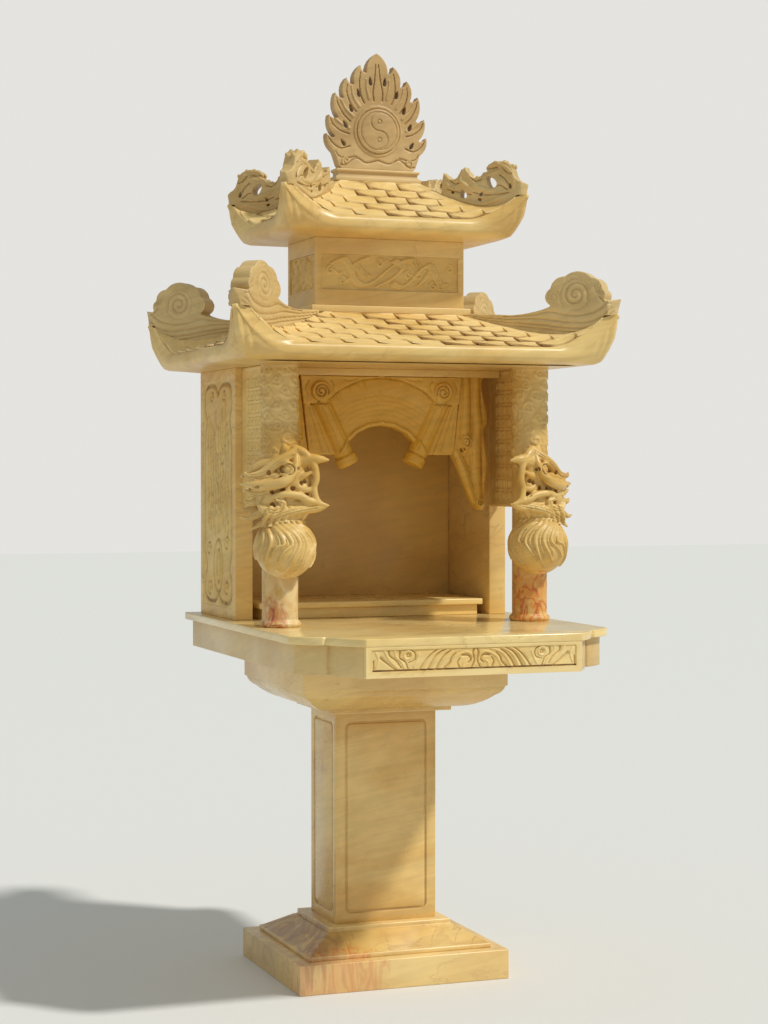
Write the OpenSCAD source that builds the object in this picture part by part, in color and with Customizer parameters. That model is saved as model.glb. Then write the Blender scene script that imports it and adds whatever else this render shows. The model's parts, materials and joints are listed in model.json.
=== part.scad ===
// Carved marble spirit house: a two-tier shrine with upswept roofs, standing on one
// moulded pedestal. The origin is the middle of the underside of the base, front is -Y.

/* [Pedestal] */
// Width of the base slab
base_w = 600; // [520:1:700]
// Depth of the base slab
base_d = 525; // [460:1:620]
// Height of the base slab
base_h = 80; // [50:1:120]
// Height of the sloped moulding between base slab and shaft
base_mould_h = 70; // [50:1:110]
// Width of the shaft
shaft_w = 292; // [240:1:340]
// Depth of the shaft
shaft_d = 212; // [180:1:260]
// Height of the shaft
shaft_h = 578; // [400:1:800]
// Distance of the panel groove from the edges of the shaft
groove_inset = 27; // [18:1:36]
// Width of the panel groove
groove_w = 7; // [4:0.5:9]
// Depth of the panel groove
groove_depth = 4; // [2:0.5:6]
// Width of the cap that carries the table
cap_w = 584; // [540:1:640]
// Depth of the cap that carries the table
cap_d = 542; // [480:1:580]
// Height of the cap
cap_h = 154; // [120:1:190]

/* [Table] */
// Half width of the table at its sides
table_half_w = 436; // [420:1:480]
// Distance from the origin to the back edge of the table
table_back = 385; // [370:1:430]
// Distance from the origin to the front edge of the table
table_front = 745; // [700:1:800]
// Distance from the origin to the side corners, where the front starts to narrow
table_corner = 585; // [560:1:610]
// Half width of the carved front panel
frieze_half_w = 288; // [250:1:310]
// Thickness of the carved front panel
frieze_t = 30; // [20:1:40]
// Height of the apron under the top slab
apron_h = 76; // [60:1:100]
// How far the top slab stands out over the apron
apron_inset = 18; // [10:1:24]
// Thickness of the top slab
table_t = 20; // [14:1:30]

/* [Niche] */
// Outer width of the niche
niche_w = 800; // [770:1:830]
// Distance from the origin to the front of the side walls
wall_front = 5; // [0:1:20]
// Distance from the origin to the back of the niche
niche_back = 345; // [320:1:360]
// Thickness of the side walls
wall_t = 50; // [40:1:60]
// Thickness of the back wall
back_t = 40; // [30:1:60]
// Height of the niche from the table to the roof
niche_h = 687; // [640:1:740]
// Height of the riser that carries the altar board
riser_h = 29; // [20:1:40]
// Thickness of the altar board
altar_t = 16; // [10:1:24]
// How far the altar board stands out over its riser
altar_lip = 12; // [6:1:20]
// Gap between the altar board and each side wall
altar_gap = 20; // [0:1:40]
// Height of the lintel under the roof
lintel_h = 20; // [14:1:30]
// Thickness of the carved door head and of the lintel
head_t = 40; // [30:1:50]
// How far the door head and the lintel stand in front of the side walls
head_forward = 75; // [0:1:120]

/* [Columns] */
// Distance of each column from the middle of the shrine
column_x = 356; // [345:1:365]
// Distance from the origin forward to the columns
column_y = 270; // [250:1:290]
// Radius of the columns
column_r = 50; // [42:1:54]
// Height of the round foot of a column
foot_h = 16; // [10:1:24]
// Thickness of the carved board between column and wall
board_t = 30; // [20:1:40]
// Height of the carved board between column and wall
board_h = 380; // [340:1:420]
// Height of the dragon's chest above the table
dragon_z = 130; // [110:1:150]
// Height of the dragon from chest to crest
dragon_h = 325; // [290:1:340]

/* [Tower] */
// Distance from the origin forward to the middle of the roofs
tower_front = 20; // [0:1:40]
// Half width of the lower roof at its straight eaves
low_half_w = 519; // [490:1:550]
// Half depth of the lower roof at its straight eaves
low_half_d = 420; // [400:1:440]
// Rise of the lower roof from its seat to its top
low_rise = 146; // [130:1:180]
// Lift of the lower roof corners over the straight eaves
low_lift = 96; // [70:1:120]
// Height of the rounded eave band of both roofs
eave_h = 32; // [26:1:40]
// Half width of the upper body
body_half_w = 215; // [200:1:225]
// Half depth of the upper body
body_half_d = 121; // [110:1:128]
// Height of the upper body with its foot ledge
body_h = 202; // [170:1:240]
// Height of the foot ledge of the upper body
ledge_h = 19; // [10:1:24]
// Half width of the upper roof at its straight eaves
up_half_w = 334; // [320:1:350]
// Half depth of the upper roof at its straight eaves
up_half_d = 240; // [230:1:250]
// Rise of the upper roof from its seat to its ridge
up_rise = 167; // [150:1:190]
// Lift of the upper roof corners over the straight eaves
up_lift = 82; // [60:1:100]

/* [Crest] */
// Width of the ridge block at its foot
ridge_w = 250; // [240:1:252]
// Depth of the ridge block at its foot
ridge_d = 60; // [54:1:62]
// Height of the ridge block
ridge_h = 34; // [18:1:44]
// Height of the flame
flame_h = 322; // [280:1:360]
// Half width of the flame at its widest tongues
flame_half_w = 148; // [130:1:160]
// Thickness of the flame plate
flame_t = 46; // [36:1:50]
// Radius of the disc on the flame
disc_r = 60; // [50:1:64]
// How far the disc bulges from the flame
disc_bulge = 12; // [8:1:18]

/* [Hidden] */
$fn = 48;
marble = [0.86, 0.68, 0.38];
pale_marble = [0.90, 0.76, 0.50];

// Levels, from the ground up
base_mould_z = base_h;
shaft_z = base_mould_z + base_mould_h;
cap_z = shaft_z + shaft_h;
apron_z = cap_z + cap_h;
slab_z = apron_z + apron_h;
table_z = slab_z + table_t;
altar_z = table_z + riser_h;
roof_seat_z = table_z + niche_h;
low_top_z = roof_seat_z + low_rise;
body_z = low_top_z + ledge_h;
up_seat_z = low_top_z + body_h;
up_top_z = up_seat_z + up_rise;
flame_z = up_top_z + ridge_h;

// Profiles of the mouldings: each point is [inset, height] from the widest member
foot_inset = 37;
foot_fillet_h = 12;
mould_top_inset = 123;
base_profile = [[foot_inset, 0], [foot_inset, foot_fillet_h], [foot_inset + 7, foot_fillet_h + 2],
    [mould_top_inset - 9, base_mould_h - 16], [mould_top_inset, base_mould_h - 14],
    [mould_top_inset, base_mould_h]];
cap_neck_inset = 118;
cap_fillet_h = 10;
cap_arris = [27, 46];
cap_plate_z = 74;
cap_profile = concat([[cap_neck_inset, 0], [cap_neck_inset, cap_fillet_h]],
    bulge([cap_neck_inset - 8, cap_fillet_h + 1], cap_arris, -8, 6),
    bulge(cap_arris + [-1, 1], [5, cap_plate_z - 2], -4, 5),
    [[0, cap_plate_z], [0, cap_h]]);

// Points of an arc; flip is -1 where insets grow against the x axis
function arc(cx, cz, r, a0, a1, n, flip) =
    [for (i = [0:n]) let (a = a0 + (a1 - a0) * i / n) [cx + flip * r * cos(a), cz + r * sin(a)]];

// Points of a shallow outward curve from p to q, with the given rise at its middle
function bulge(p, q, rise, n) =
    let (d = q - p, nrm = [d[1], -d[0]] / norm(d))
    [for (i = [0:n]) let (t = i / n) p + d * t + nrm * rise * 4 * t * (1 - t)];

// Points of a smooth curve that passes through the given points
function smooth(p, n) = concat([for (i = [0:len(p) - 2], k = [0:n - 1])
    let (t = k / n, a = p[max(i - 1, 0)], b = p[i], c = p[i + 1], d = p[min(i + 2, len(p) - 1)])
        b + ((c - a) * t + (2 * a - 5 * b + 4 * c - d) * t * t + (3 * (b - c) + d - a) * t * t * t) / 2],
    [p[len(p) - 1]]);

function mirrored(points) = [for (i = [len(points) - 1:-1:0]) [-points[i][0], points[i][1]]];

// Outline of a teardrop piercing, its tip leaning outward by the given angle
function drop(at, w, h, lean) =
    [for (a = [0:30:330]) let (x = w / 2 * sin(a) * (1 - 0.45 * cos(a)), z = h / 2 * cos(a))
        at + [x * cos(lean) + z * sin(lean), z * cos(lean) - x * sin(lean)]];

// Outline of a groove of the given width that winds inward from radius r0 to r1
function spiral_groove(at, r0, r1, turns, start, w) =
    let (n = ceil(abs(turns) * 12), line = [for (i = [0:n]) let (t = i / n, a = start + 360 * turns * t)
            [r0 + (r1 - r0) * t, a]])
    concat([for (p = line) at + (p[0] + w / 2) * [cos(p[1]), sin(p[1])]],
        [for (i = [n:-1:0]) at + (line[i][0] - w / 2) * [cos(line[i][1]), sin(line[i][1])]]);

// Block with one edge profile worked all round, so that its corners are mitred
module moulded_block(w, d, profile) {
    function outline(half) = concat([for (p = profile) [half - p[0], p[1]]],
        mirrored([for (p = profile) [half - p[0], p[1]]]));
    intersection() {
        translate([0, d / 2, 0]) rotate([90, 0, 0]) linear_extrude(d) polygon(outline(w / 2));
        translate([-w / 2, 0, 0]) rotate([90, 0, 90]) linear_extrude(w) polygon(outline(d / 2));
    }
}

module rounded_rect(w, h, r) {
    square([w - 2 * r, h], center = true);
    square([w, h - 2 * r], center = true);
    for (x = [-1, 1], y = [-1, 1])
        translate([x * (w / 2 - r), y * (h / 2 - r)]) circle(r);
}

// Pedestal
module base_plinth() {
    color(marble) translate([-base_w / 2, -base_d / 2, 0]) cube([base_w, base_d, base_h]);
}

module base_moulding() {
    color(marble) translate([0, 0, base_mould_z]) moulded_block(base_w, base_d, base_profile);
}

groove_r = 18;
module panel_groove(w, h) {
    linear_extrude(2 * groove_depth, center = true) difference() {
        rounded_rect(w, h, groove_r);
        rounded_rect(w - 2 * groove_w, h - 2 * groove_w, groove_r - groove_w);
    }
}

module pedestal_shaft() {
    panel_h = shaft_h - 2 * groove_inset;
    color(marble) translate([0, 0, shaft_z]) difference() {
        translate([-shaft_w / 2, -shaft_d / 2, 0]) cube([shaft_w, shaft_d, shaft_h]);
        for (side = [-1, 1]) {
            translate([0, side * shaft_d / 2, shaft_h / 2]) rotate([90, 0, 0])
                panel_groove(shaft_w - 2 * groove_inset, panel_h);
            translate([side * shaft_w / 2, 0, shaft_h / 2]) rotate([90, 0, 90])
                panel_groove(shaft_d - 2 * groove_inset, panel_h);
        }
    }
}

module pedestal_cap() {
    color(marble) translate([0, 0, cap_z]) moulded_block(cap_w, cap_d, cap_profile);
}

// Table: the outline narrows at the front in two curved steps to the carved panel
notch = [368, -652];
notch_step = 9;
corner_rise = 7;
function table_half(inset) =
    let (shift = [-inset * 0.75, inset * 0.75], n = 5,
         corner = [table_half_w - inset, -table_corner + inset * 0.4],
         outer = notch + shift, inner = outer + [-notch_step, 2],
         end = [frieze_half_w, -table_front + inset])
    concat([[table_half_w - inset, table_back - inset]],
        mirror_bulge(corner, outer, n), mirror_bulge(inner, end, n));
function mirror_bulge(p, q, n) = bulge(p, q, -corner_rise, n);

module apron_2d() {
    half = table_half(apron_inset);
    back = -table_front + frieze_t;
    difference() {
        polygon(concat(half, mirrored(half)));
        translate([-frieze_half_w, -table_front]) square([2 * frieze_half_w, back + table_front]);
    }
}

module table_apron() {
    color(marble) translate([0, 0, apron_z]) linear_extrude(apron_h) apron_2d();
}

module table_slab() {
    half = table_half(0);
    color(marble) translate([0, 0, slab_z]) linear_extrude(table_t)
        polygon(concat(half, mirrored(half)));
}

frieze_border = 16;
frieze_recess = 7;
module front_frieze() {
    color(pale_marble) translate([0, -table_front, apron_z]) difference() {
        translate([-frieze_half_w, 0, 0]) cube([2 * frieze_half_w, frieze_t, apron_h]);
        translate([-frieze_half_w + frieze_border, -frieze_recess, frieze_border])
            cube([2 * (frieze_half_w - frieze_border), 2 * frieze_recess, apron_h - 1.5 * frieze_border]);
    }
}

// Niche
inner_half_w = niche_w / 2 - wall_t;
wall_y = -wall_front;
panel_margin = 30;
wall_recess = 6;
module side_wall(side) {
    depth = niche_back + wall_front;
    color(marble) difference() {
        translate([side > 0 ? inner_half_w : -niche_w / 2, wall_y, table_z])
            cube([wall_t, depth, niche_h]);
        translate([side * niche_w / 2, wall_y + depth / 2, table_z + niche_h / 2])
            cube([2 * wall_recess, depth - 2 * panel_margin, niche_h - 2 * panel_margin], center = true);
    }
}
module left_wall() { side_wall(-1); }
module right_wall() { side_wall(1); }

module back_wall() {
    color(marble) translate([-inner_half_w, niche_back - back_t, table_z])
        cube([2 * inner_half_w, back_t, niche_h]);
}

module altar_riser() {
    half = inner_half_w - altar_gap - altar_lip;
    color(marble) translate([-half, wall_y + altar_lip, table_z])
        cube([2 * half, niche_back - back_t - wall_y - altar_lip, riser_h]);
}

module altar_board() {
    half = inner_half_w - altar_gap;
    color(marble) translate([-half, wall_y, altar_z])
        cube([2 * half, niche_back - back_t - wall_y, altar_t]);
}

// The lintel, the door head and its brackets hang between the carved boards, in front of the walls
head_y = wall_y - head_forward + head_t;
module lintel() {
    color(marble) translate([-inner_half_w, head_y - head_t, roof_seat_z - lintel_h])
        cube([2 * inner_half_w, head_t, lintel_h]);
}

// Door head: an unrolled banner, with its two rolled ends converging over the opening. Points
// are measured from the middle of its top edge.
head_top_z = roof_seat_z - lintel_h;
head_side = [[236, 0], [226, -90], [217, -165], [212, -210]];
head_foot = [206, -216];
head_arch_r = 125;
head_arch_rise = 136;
head_field_r = 220;
head_field_rise = 8;
roll_r = 28;
roll_top = [176, -70];
roll_foot = [105, -218];
knob_r = 31;
knob_l = 29;
head_eye = [179, -43];
head_eye_r = 27;
head_line_w = 6;
module head_plate_2d() {
    half = concat(head_side, [head_foot]);
    difference() {
        polygon(concat(half, mirrored(half)));
        translate([0, -head_arch_rise - head_arch_r]) circle(head_arch_r, $fn = 96);
    }
}
module head_plate() {
    field = spiral_groove([0, -head_field_rise - head_field_r], head_field_r, head_field_r, 0.24, 47,
        head_line_w);
    difference() {
        linear_extrude(head_t) head_plate_2d();
        translate([0, 0, head_t - carving_depth]) linear_extrude(2 * carving_depth) polygon(field);
    }
}
// Round bar from p to q that stands out from both faces of the plate
module head_bar(p, q, r) {
    translate([p[0], p[1], head_t / 2]) rotate([0, 0, atan2(q[1] - p[1], q[0] - p[0])]) rotate([0, 90, 0])
        cylinder(r = r, h = norm(q - p));
}
module head_roll() {
    knob = (roll_foot - roll_top) / norm(roll_foot - roll_top) * knob_l;
    head_bar(roll_top, roll_foot + knob / 2, roll_r);
    head_bar(roll_foot, roll_foot + knob, knob_r);
    difference() {
        translate([head_eye[0], head_eye[1], 0]) cylinder(r = head_eye_r, h = head_t / 2 + roll_r);
        translate([0, 0, head_t / 2 + roll_r - carving_depth]) linear_extrude(2 * carving_depth)
            polygon(spiral_groove(head_eye, head_eye_r - 6, 6, 1.75, 0, 5));
    }
}
module door_head() {
    color(pale_marble) translate([0, head_y, head_top_z]) rotate([90, 0, 0]) {
        head_plate();
        for (s = [0, 1]) mirror([s, 0, 0]) head_roll();
    }
}

// Bracket: a leaf of carved cloth that hangs beside the banner
bracket_edge = [[212, -210], [231, -251], [247, -289], [264, -331], [279, -359], [304, -368], [309, -326],
    [311, -289], [317, -241], [301, -166], [315, -115], [298, -31], [302, 0]];
module bracket(side) {
    color(pale_marble) translate([0, head_y, head_top_z]) mirror([side < 0 ? 1 : 0, 0, 0])
        rotate([90, 0, 0]) linear_extrude(head_t) polygon(concat(head_side, smooth(bracket_edge, 3)));
}
module left_bracket() { bracket(-1); }
module right_bracket() { bracket(1); }

// Columns
seat_gap = 0.3;
column_h = niche_h;
module column(side) {
    color(marble) translate([side * column_x, -column_y, table_z]) {
        rotate_extrude() polygon(concat([[0, 0], [column_r + 6, 0]],
            arc(column_r + 2, foot_h / 2, foot_h / 2, -70, 70, 6, 1), [[column_r, foot_h + 4],
            [column_r, column_h], [0, column_h]]));
    }
}
module left_column() { column(-1); }
module right_column() { column(1); }

module spandrel_board(side) {
    color(pale_marble) difference() {
        translate([side * (inner_half_w + board_t / 2) - board_t / 2, -column_y, roof_seat_z - board_h])
            cube([board_t, column_y - wall_front, board_h]);
        translate([side * column_x, -column_y, 0]) cylinder(r = column_r + seat_gap, h = roof_seat_z + 1);
    }
}
module left_spandrel() { spandrel_board(-1); }
module right_spandrel() { spandrel_board(1); }

// Dragon on a column: a round chest that juts forward, a head that looks inward with its jaws
// open, and locks of mane swept outward. x runs outward from the column.
module dragon_forms() {
    chest = [2, -50, 75];
    neck = [-4, -42, 170];
    hull() {
        translate(chest) sphere(78, $fn = 28);
        translate([0, -4, 20]) cylinder(r = column_r + 2, h = 40, $fn = 28);
    }
    hull() {
        translate(neck) sphere(56, $fn = 18);
        translate([-6, -40, 240]) sphere(54, $fn = 18);
        translate([10, -12, 272]) sphere(50, $fn = 18);
    }
    hull() {
        translate([-26, -56, 248]) sphere(34, $fn = 14);
        translate([-64, -84, 268]) sphere(17, $fn = 12);
    }
    hull() {
        translate([-20, -54, 184]) sphere(26, $fn = 14);
        translate([-92, -84, 187]) sphere(10, $fn = 12);
    }
    for (k = [0:2]) hull() {
        translate([30, -24, 176 + 46 * k]) sphere(34 - 3 * k, $fn = 14);
        translate([104 - 5 * k, 4, 155 + 45 * k]) sphere(7, $fn = 10);
    }
}
module column_dragon(side) {
    color(pale_marble) translate([side * column_x, -column_y, table_z + dragon_z])
        scale(dragon_h / 325) difference() {
            mirror([side < 0 ? 1 : 0, 0, 0]) dragon_forms();
            translate([0, 0, -dragon_h]) cylinder(r = column_r + seat_gap, h = 3 * dragon_h);
        }
}
module left_dragon() { column_dragon(-1); }
module right_dragon() { column_dragon(1); }

// Roofs: rings of points rise from the flat seat round the eave band and up the slope.
// Each ring is [half width, half depth, height, corner lift, corner flare, sweep, flat],
// where sweep is how far from a corner it starts to rise, and flat is the width of the
// level strip across the corner, on which the carved hip ornament stands.
sweep_steps = 6;
function sweep_at(i) = pow(i / sweep_steps, 1.3);
function ring_side() =
    concat([for (i = [0:sweep_steps]) [-1, sweep_at(i)]], [for (i = [sweep_steps:-1:0]) [1, sweep_at(i)]]);
function ring_point(along, across, ring, end, q) =
    let (fall = 1 - q, out = ring[4] * fall * fall)
    [end * (along - ring[6] / sqrt(2) - q * ring[5] + out), across + out, ring[2] + ring[3] * pow(fall, 2.2)];
function ring_points(ring) =
    [for (side = [0:3]) for (e = ring_side())
        let (odd = side % 2, along = odd == 0 ? ring[0] : ring[1], across = odd == 0 ? ring[1] : ring[0],
             p = ring_point(along, across, ring, e[0], e[1]))
        side == 0 ? [p[0], -p[1], p[2]] : side == 1 ? [p[1], p[0], p[2]] :
        side == 2 ? [-p[0], p[1], p[2]] : [-p[1], -p[0], p[2]]];

module ring_loft(rings) {
    n = len(ring_points(rings[0]));
    m = len(rings);
    points = concat([for (r = rings) each ring_points(r)], [[0, 0, rings[0][2]], [0, 0, rings[m - 1][2]]]);
    faces = [for (i = [0:n - 1]) let (j = (i + 1) % n) each concat(
        [[i, j, m * n], [(m - 1) * n + j, (m - 1) * n + i, m * n + 1]],
        [for (k = [0:m - 2]) let (low = k * n, high = low + n)
            each [[low + j, low + i, high + i], [low + j, high + i, high + j]]])];
    polyhedron(points, faces, convexity = 6);
}

// Height of the slope above the eaves and lift of the hip, at a distance inward
function slope_z(inset, run, rise) = rise * pow(inset / run, 1.15);
hip_fall = 5;
function hip_lift(inset, run, lift) = lift * pow(1 - inset / run, hip_fall);
slope_steps = 7;
slope_start = 10;
eave_sweep = 135;
eave_flare = 20;
eave_flat = 12;
soffit_h = 12;
band_rings = 6;
ornament_gap = 1;
carving_depth = 4;

function sweep_for(half_w, half_d, flat, left) =
    min(eave_sweep * (0.15 + 0.85 * left), 0.9 * (min(half_w, half_d) - flat / sqrt(2)));
function slope_ring(k, half_w, half_d, rise, run, lift, flat, top_flat) =
    let (t = k / slope_steps, inset = slope_start + (run - slope_start) * t, left = 1 - inset / run,
         eave_top = soffit_h + eave_h, w = t > 0.8 ? top_flat : flat)
    [half_w - inset, half_d - inset, eave_top + slope_z(inset, run, rise - eave_top),
        hip_lift(inset, run, lift), eave_flare * left, sweep_for(half_w - inset, half_d - inset, w, left), w];

function roof_rings(half_w, half_d, seat_w, seat_d, rise, run, lift, flat, top_flat) =
    concat([[seat_w, seat_d, 0, 0, 0, sweep_for(seat_w, seat_d, eave_flat, 1), eave_flat],
        [half_w - 26, half_d - 26, soffit_h - 7, 0, -5, eave_sweep, eave_flat],
        [half_w - 8, half_d - 8, soffit_h, lift * 0.1, -4, eave_sweep, eave_flat],
        [half_w - 5, half_d - 5, soffit_h + 3, lift * 0.6, 14, eave_sweep, eave_flat],
        [half_w - 2, half_d - 2, soffit_h + 5, lift * 1.16, eave_flare - 1, eave_sweep, eave_flat],
        [half_w - 1, half_d - 1, soffit_h + eave_h - 3, lift, eave_flare, eave_sweep, eave_flat]],
        [for (k = [0:slope_steps]) slope_ring(k, half_w, half_d, rise, run, lift, flat, top_flat)]);

// Line along the middle of a hip's level strip, as [distance inward from the eave corner, height]
function hip_line(rings) =
    [for (i = [band_rings:len(rings) - 1])
        let (r = rings[i], inset = rings[band_rings][0] - r[0] + slope_start)
        [(inset - r[4]) * sqrt(2) + r[6] / 2, r[2] + r[3]]];

// Everything below the hip, from the tip of the eaves inward: no ornament reaches into it
module hip_cut_2d(hip, tip_z) {
    polygon(concat([[-60, 0], [-60, tip_z + ornament_gap], [hip[0][0], tip_z + ornament_gap]], hip,
        [[600, 0]]));
}

// Puts a flat outline upright on the hip of one corner; x runs inward from the eave corner.
// Its end is cut to a point in line with the eaves.
module on_hip(half_w, half_d, sx, sy, thick, aside = 0) {
    intersection() {
        translate([sx * half_w, sy * half_d, 0]) rotate([0, 0, atan2(-sy, -sx)]) translate([0, aside, 0])
            rotate([90, 0, 0]) linear_extrude(thick, center = true) children();
        translate([-half_w - eave_flare, -half_d - eave_flare, 0])
            cube([2 * (half_w + eave_flare), 2 * (half_d + eave_flare), low_half_w]);
    }
}

// The slope of the lower roof runs inward until its top just carries the foot ledge
ledge_out = 15;
top_margin = 4;
low_run = low_half_w - body_half_w - ledge_out - top_margin;
low_scroll_t = 58;
low_rings = roof_rings(low_half_w, low_half_d, niche_w / 2 + 12, niche_back + tower_front + 8,
    low_rise, low_run, low_lift, low_scroll_t, low_scroll_t);
low_hip = hip_line(low_rings);
module lower_roof() {
    color(marble) translate([0, -tower_front, roof_seat_z]) ring_loft(low_rings);
}

// Scroll on a lower hip: a cloud head with three lobes over a tall stem that runs up the hip,
// with a leaf tip that points out over the corner
scroll_lobes = [[90, 201, 54], [156, 188, 24], [26, 188, 18]];
scroll_eye = [94, 192];
scroll_stem = [[169, 161], [190, 154], [214, 149], [240, 145], [262, 143], [290, 143], [311, 145],
    [355, 147], [398, 150]];
scroll_leaf = [[26, 188], [6, 172], [-28, 178], [-16, 150], [-14, 120]];
low_tip_z = soffit_h + eave_h - 3 + low_lift;
module scroll_2d() {
    difference() {
        union() {
            polygon(concat([for (i = [0:slope_steps]) low_hip[i] - [0, 20]],
                [for (i = [len(scroll_stem) - 1:-1:0]) scroll_stem[i]], [scroll_eye], scroll_leaf));
            for (lobe = scroll_lobes)
                translate([lobe[0], lobe[1]]) circle(lobe[2]);
        }
        hip_cut_2d(low_hip, low_tip_z);
        translate([scroll_stem[len(scroll_stem) - 1][0], 0]) square([200, 400]);
    }
}
module hip_scroll(sx, sy) {
    color(pale_marble) translate([0, -tower_front, roof_seat_z])
        difference() {
            on_hip(low_half_w, low_half_d, sx, sy, low_scroll_t) scroll_2d();
            for (side = [-1, 1])
                on_hip(low_half_w, low_half_d, sx, sy, 2 * carving_depth, side * low_scroll_t / 2)
                    polygon(spiral_groove(scroll_eye, 38, 7, 1.9, 150, 6));
        }
}
module front_left_scroll() { hip_scroll(-1, -1); }
module front_right_scroll() { hip_scroll(1, -1); }
module back_left_scroll() { hip_scroll(-1, 1); }
module back_right_scroll() { hip_scroll(1, 1); }

// Upper body
module upper_ledge() {
    color(marble) translate([-body_half_w - ledge_out, -tower_front - body_half_d - ledge_out, low_top_z])
        cube([2 * (body_half_w + ledge_out), 2 * (body_half_d + ledge_out), ledge_h]);
}

body_margin = 17;
body_margin_z = 44;
body_recess = 6;
module upper_body() {
    h = body_h - ledge_h;
    panel_h = h - 2 * body_margin_z;
    color(marble) translate([0, -tower_front, body_z]) difference() {
        translate([-body_half_w, -body_half_d, 0]) cube([2 * body_half_w, 2 * body_half_d, h]);
        for (s = [-1, 1]) {
            translate([0, s * body_half_d, h / 2])
                cube([2 * (body_half_w - body_margin), 2 * body_recess, panel_h], center = true);
            translate([s * body_half_w, 0, h / 2])
                cube([2 * body_recess, 2 * (body_half_d - body_margin), panel_h], center = true);
        }
    }
}

// The slope of the upper roof runs inward until its top just carries the ridge block
ridge_margin = 1;
up_run = up_half_w - ridge_w / 2 - ridge_margin;
up_dragon_t = 44;
up_rings = roof_rings(up_half_w, up_half_d, body_half_w + 8, body_half_d + 8,
    up_rise, up_run, up_lift, up_dragon_t, 20);
up_hip = hip_line(up_rings);
module upper_roof() {
    color(marble) translate([0, -tower_front, up_seat_z]) ring_loft(up_rings);
}

// Dragon on an upper hip: its head rises over the corner and looks back up the roof, with
// spikes of mane behind it and its tail curling out over the tip
dragon_back = [[228, 150], [226, 170], [222, 192], [208, 176], [194, 170], [182, 176], [158, 204],
    [150, 186], [138, 174], [116, 174], [104, 184], [92, 190], [84, 196], [92, 205], [74, 214], [46, 213],
    [24, 200], [14, 172], [4, 160], [-20, 149], [-15, 132], [-14, 110]];
dragon_holes = [[80, 160, 22, 30, 30], [22, 136, 10, 18, 10], [115, 118, 12, 22, -20],
    [165, 132, 16, 24, 20]];
up_tip_z = soffit_h + eave_h - 3 + up_lift;
module roof_dragon_2d() {
    difference() {
        polygon(concat([for (i = [0:slope_steps - 2]) up_hip[i] - [0, 20]], dragon_back));
        for (h = dragon_holes)
            polygon(drop([h[0], h[1]], h[2], h[3], h[4]));
        hip_cut_2d(up_hip, up_tip_z);
        translate([dragon_back[0][0], 0]) square([200, 400]);
    }
}
module roof_dragon(sx, sy) {
    color(pale_marble) translate([0, -tower_front, up_seat_z])
        on_hip(up_half_w, up_half_d, sx, sy, up_dragon_t) roof_dragon_2d();
}
module front_left_roof_dragon() { roof_dragon(-1, -1); }
module front_right_roof_dragon() { roof_dragon(1, -1); }
module back_left_roof_dragon() { roof_dragon(-1, 1); }
module back_right_roof_dragon() { roof_dragon(1, 1); }

// Crest
ridge_profile = [[0, 0], [0, 12], [8, 15], [8, 24], [3, 27], [3, 34]];
module ridge_block() {
    profile = [for (p = ridge_profile) [p[0], p[1] * ridge_h / 34]];
    color(marble) translate([0, -tower_front, up_top_z]) moulded_block(ridge_w, ridge_d, profile);
}

// Flame: a leaf-shaped plate whose tongues curve upward on both sides, each pierced by a
// teardrop. Points are for a flame 148 in half width and 322 in height, scaled to the real one.
flame_foot = [[104, 0], [114, 10], [124, 32], [131, 48]];
flame_tips = [[148, 87], [140, 136], [120, 200], [86, 240], [45, 278]];
flame_valleys = [[124, 94], [115, 148], [95, 202], [66, 238], [30, 270]];
flame_top = [0, 322];
flame_drops = [[22, 246, 10, 26, 6], [59, 213, 10, 26, 14], [79, 169, 10, 26, 18], [96, 123, 10, 24, 26],
    [104, 74, 10, 24, 34]];
function flame_side() = concat(flame_foot,
    bulge(flame_foot[3], flame_tips[0], 8, 3),
    [for (i = [0:len(flame_tips) - 1]) let (tip = flame_tips[i], valley = flame_valleys[i],
        next = i < len(flame_tips) - 1 ? flame_tips[i + 1] : flame_top)
        each concat(bulge(tip, valley, -6, 3), bulge(valley, next, 7, 4))]);
module flame_2d() {
    right = flame_side();
    difference() {
        polygon(concat(right, mirrored(right)));
        for (s = [0, 1]) mirror([s, 0])
            for (h = flame_drops)
                polygon(drop([h[0], h[1]], h[2], h[3], h[4]));
    }
}
module flame() {
    color(pale_marble) translate([0, -tower_front + flame_t / 2, flame_z]) rotate([90, 0, 0])
        linear_extrude(flame_t) scale([flame_half_w / 148, flame_h / 322]) flame_2d();
}

disc_z = 106;
module disc(side) {
    r = (disc_r * disc_r + disc_bulge * disc_bulge) / (2 * disc_bulge);
    half_angle = asin(disc_r / r);
    rim = 4;
    n = 10;
    profile = concat([[0, 0], [disc_r, 0]], [for (i = [0:n]) let (a = half_angle * (1 - i / n))
        [r * sin(a), rim + r * cos(a) - r * cos(half_angle)]]);
    color(pale_marble) translate([0, -tower_front + side * flame_t / 2, flame_z + disc_z])
        rotate([side < 0 ? 90 : -90, 0, 0]) rotate_extrude() polygon(profile);
}
module front_disc() { disc(-1); }
module back_disc() { disc(1); }

base_plinth();
base_moulding();
pedestal_shaft();
pedestal_cap();
table_apron();
table_slab();
front_frieze();
left_wall();
right_wall();
back_wall();
altar_riser();
altar_board();
lintel();
door_head();
left_bracket();
right_bracket();
left_column();
right_column();
left_spandrel();
right_spandrel();
left_dragon();
right_dragon();
lower_roof();
front_left_scroll();
front_right_scroll();
back_left_scroll();
back_right_scroll();
upper_ledge();
upper_body();
upper_roof();
front_left_roof_dragon();
front_right_roof_dragon();
back_left_roof_dragon();
back_right_roof_dragon();
ridge_block();
flame();
front_disc();
back_disc();
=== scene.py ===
"""Dresses the carved marble spirit house: roofs, tiles, relief carving, sculpted dragons and polish."""

import json
import logging
import math
from dataclasses import dataclass
from enum import Enum
from typing import Callable

import bmesh
import bpy
import numpy as np
from mathutils import Matrix, Vector
from mathutils.geometry import tessellate_polygon

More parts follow.
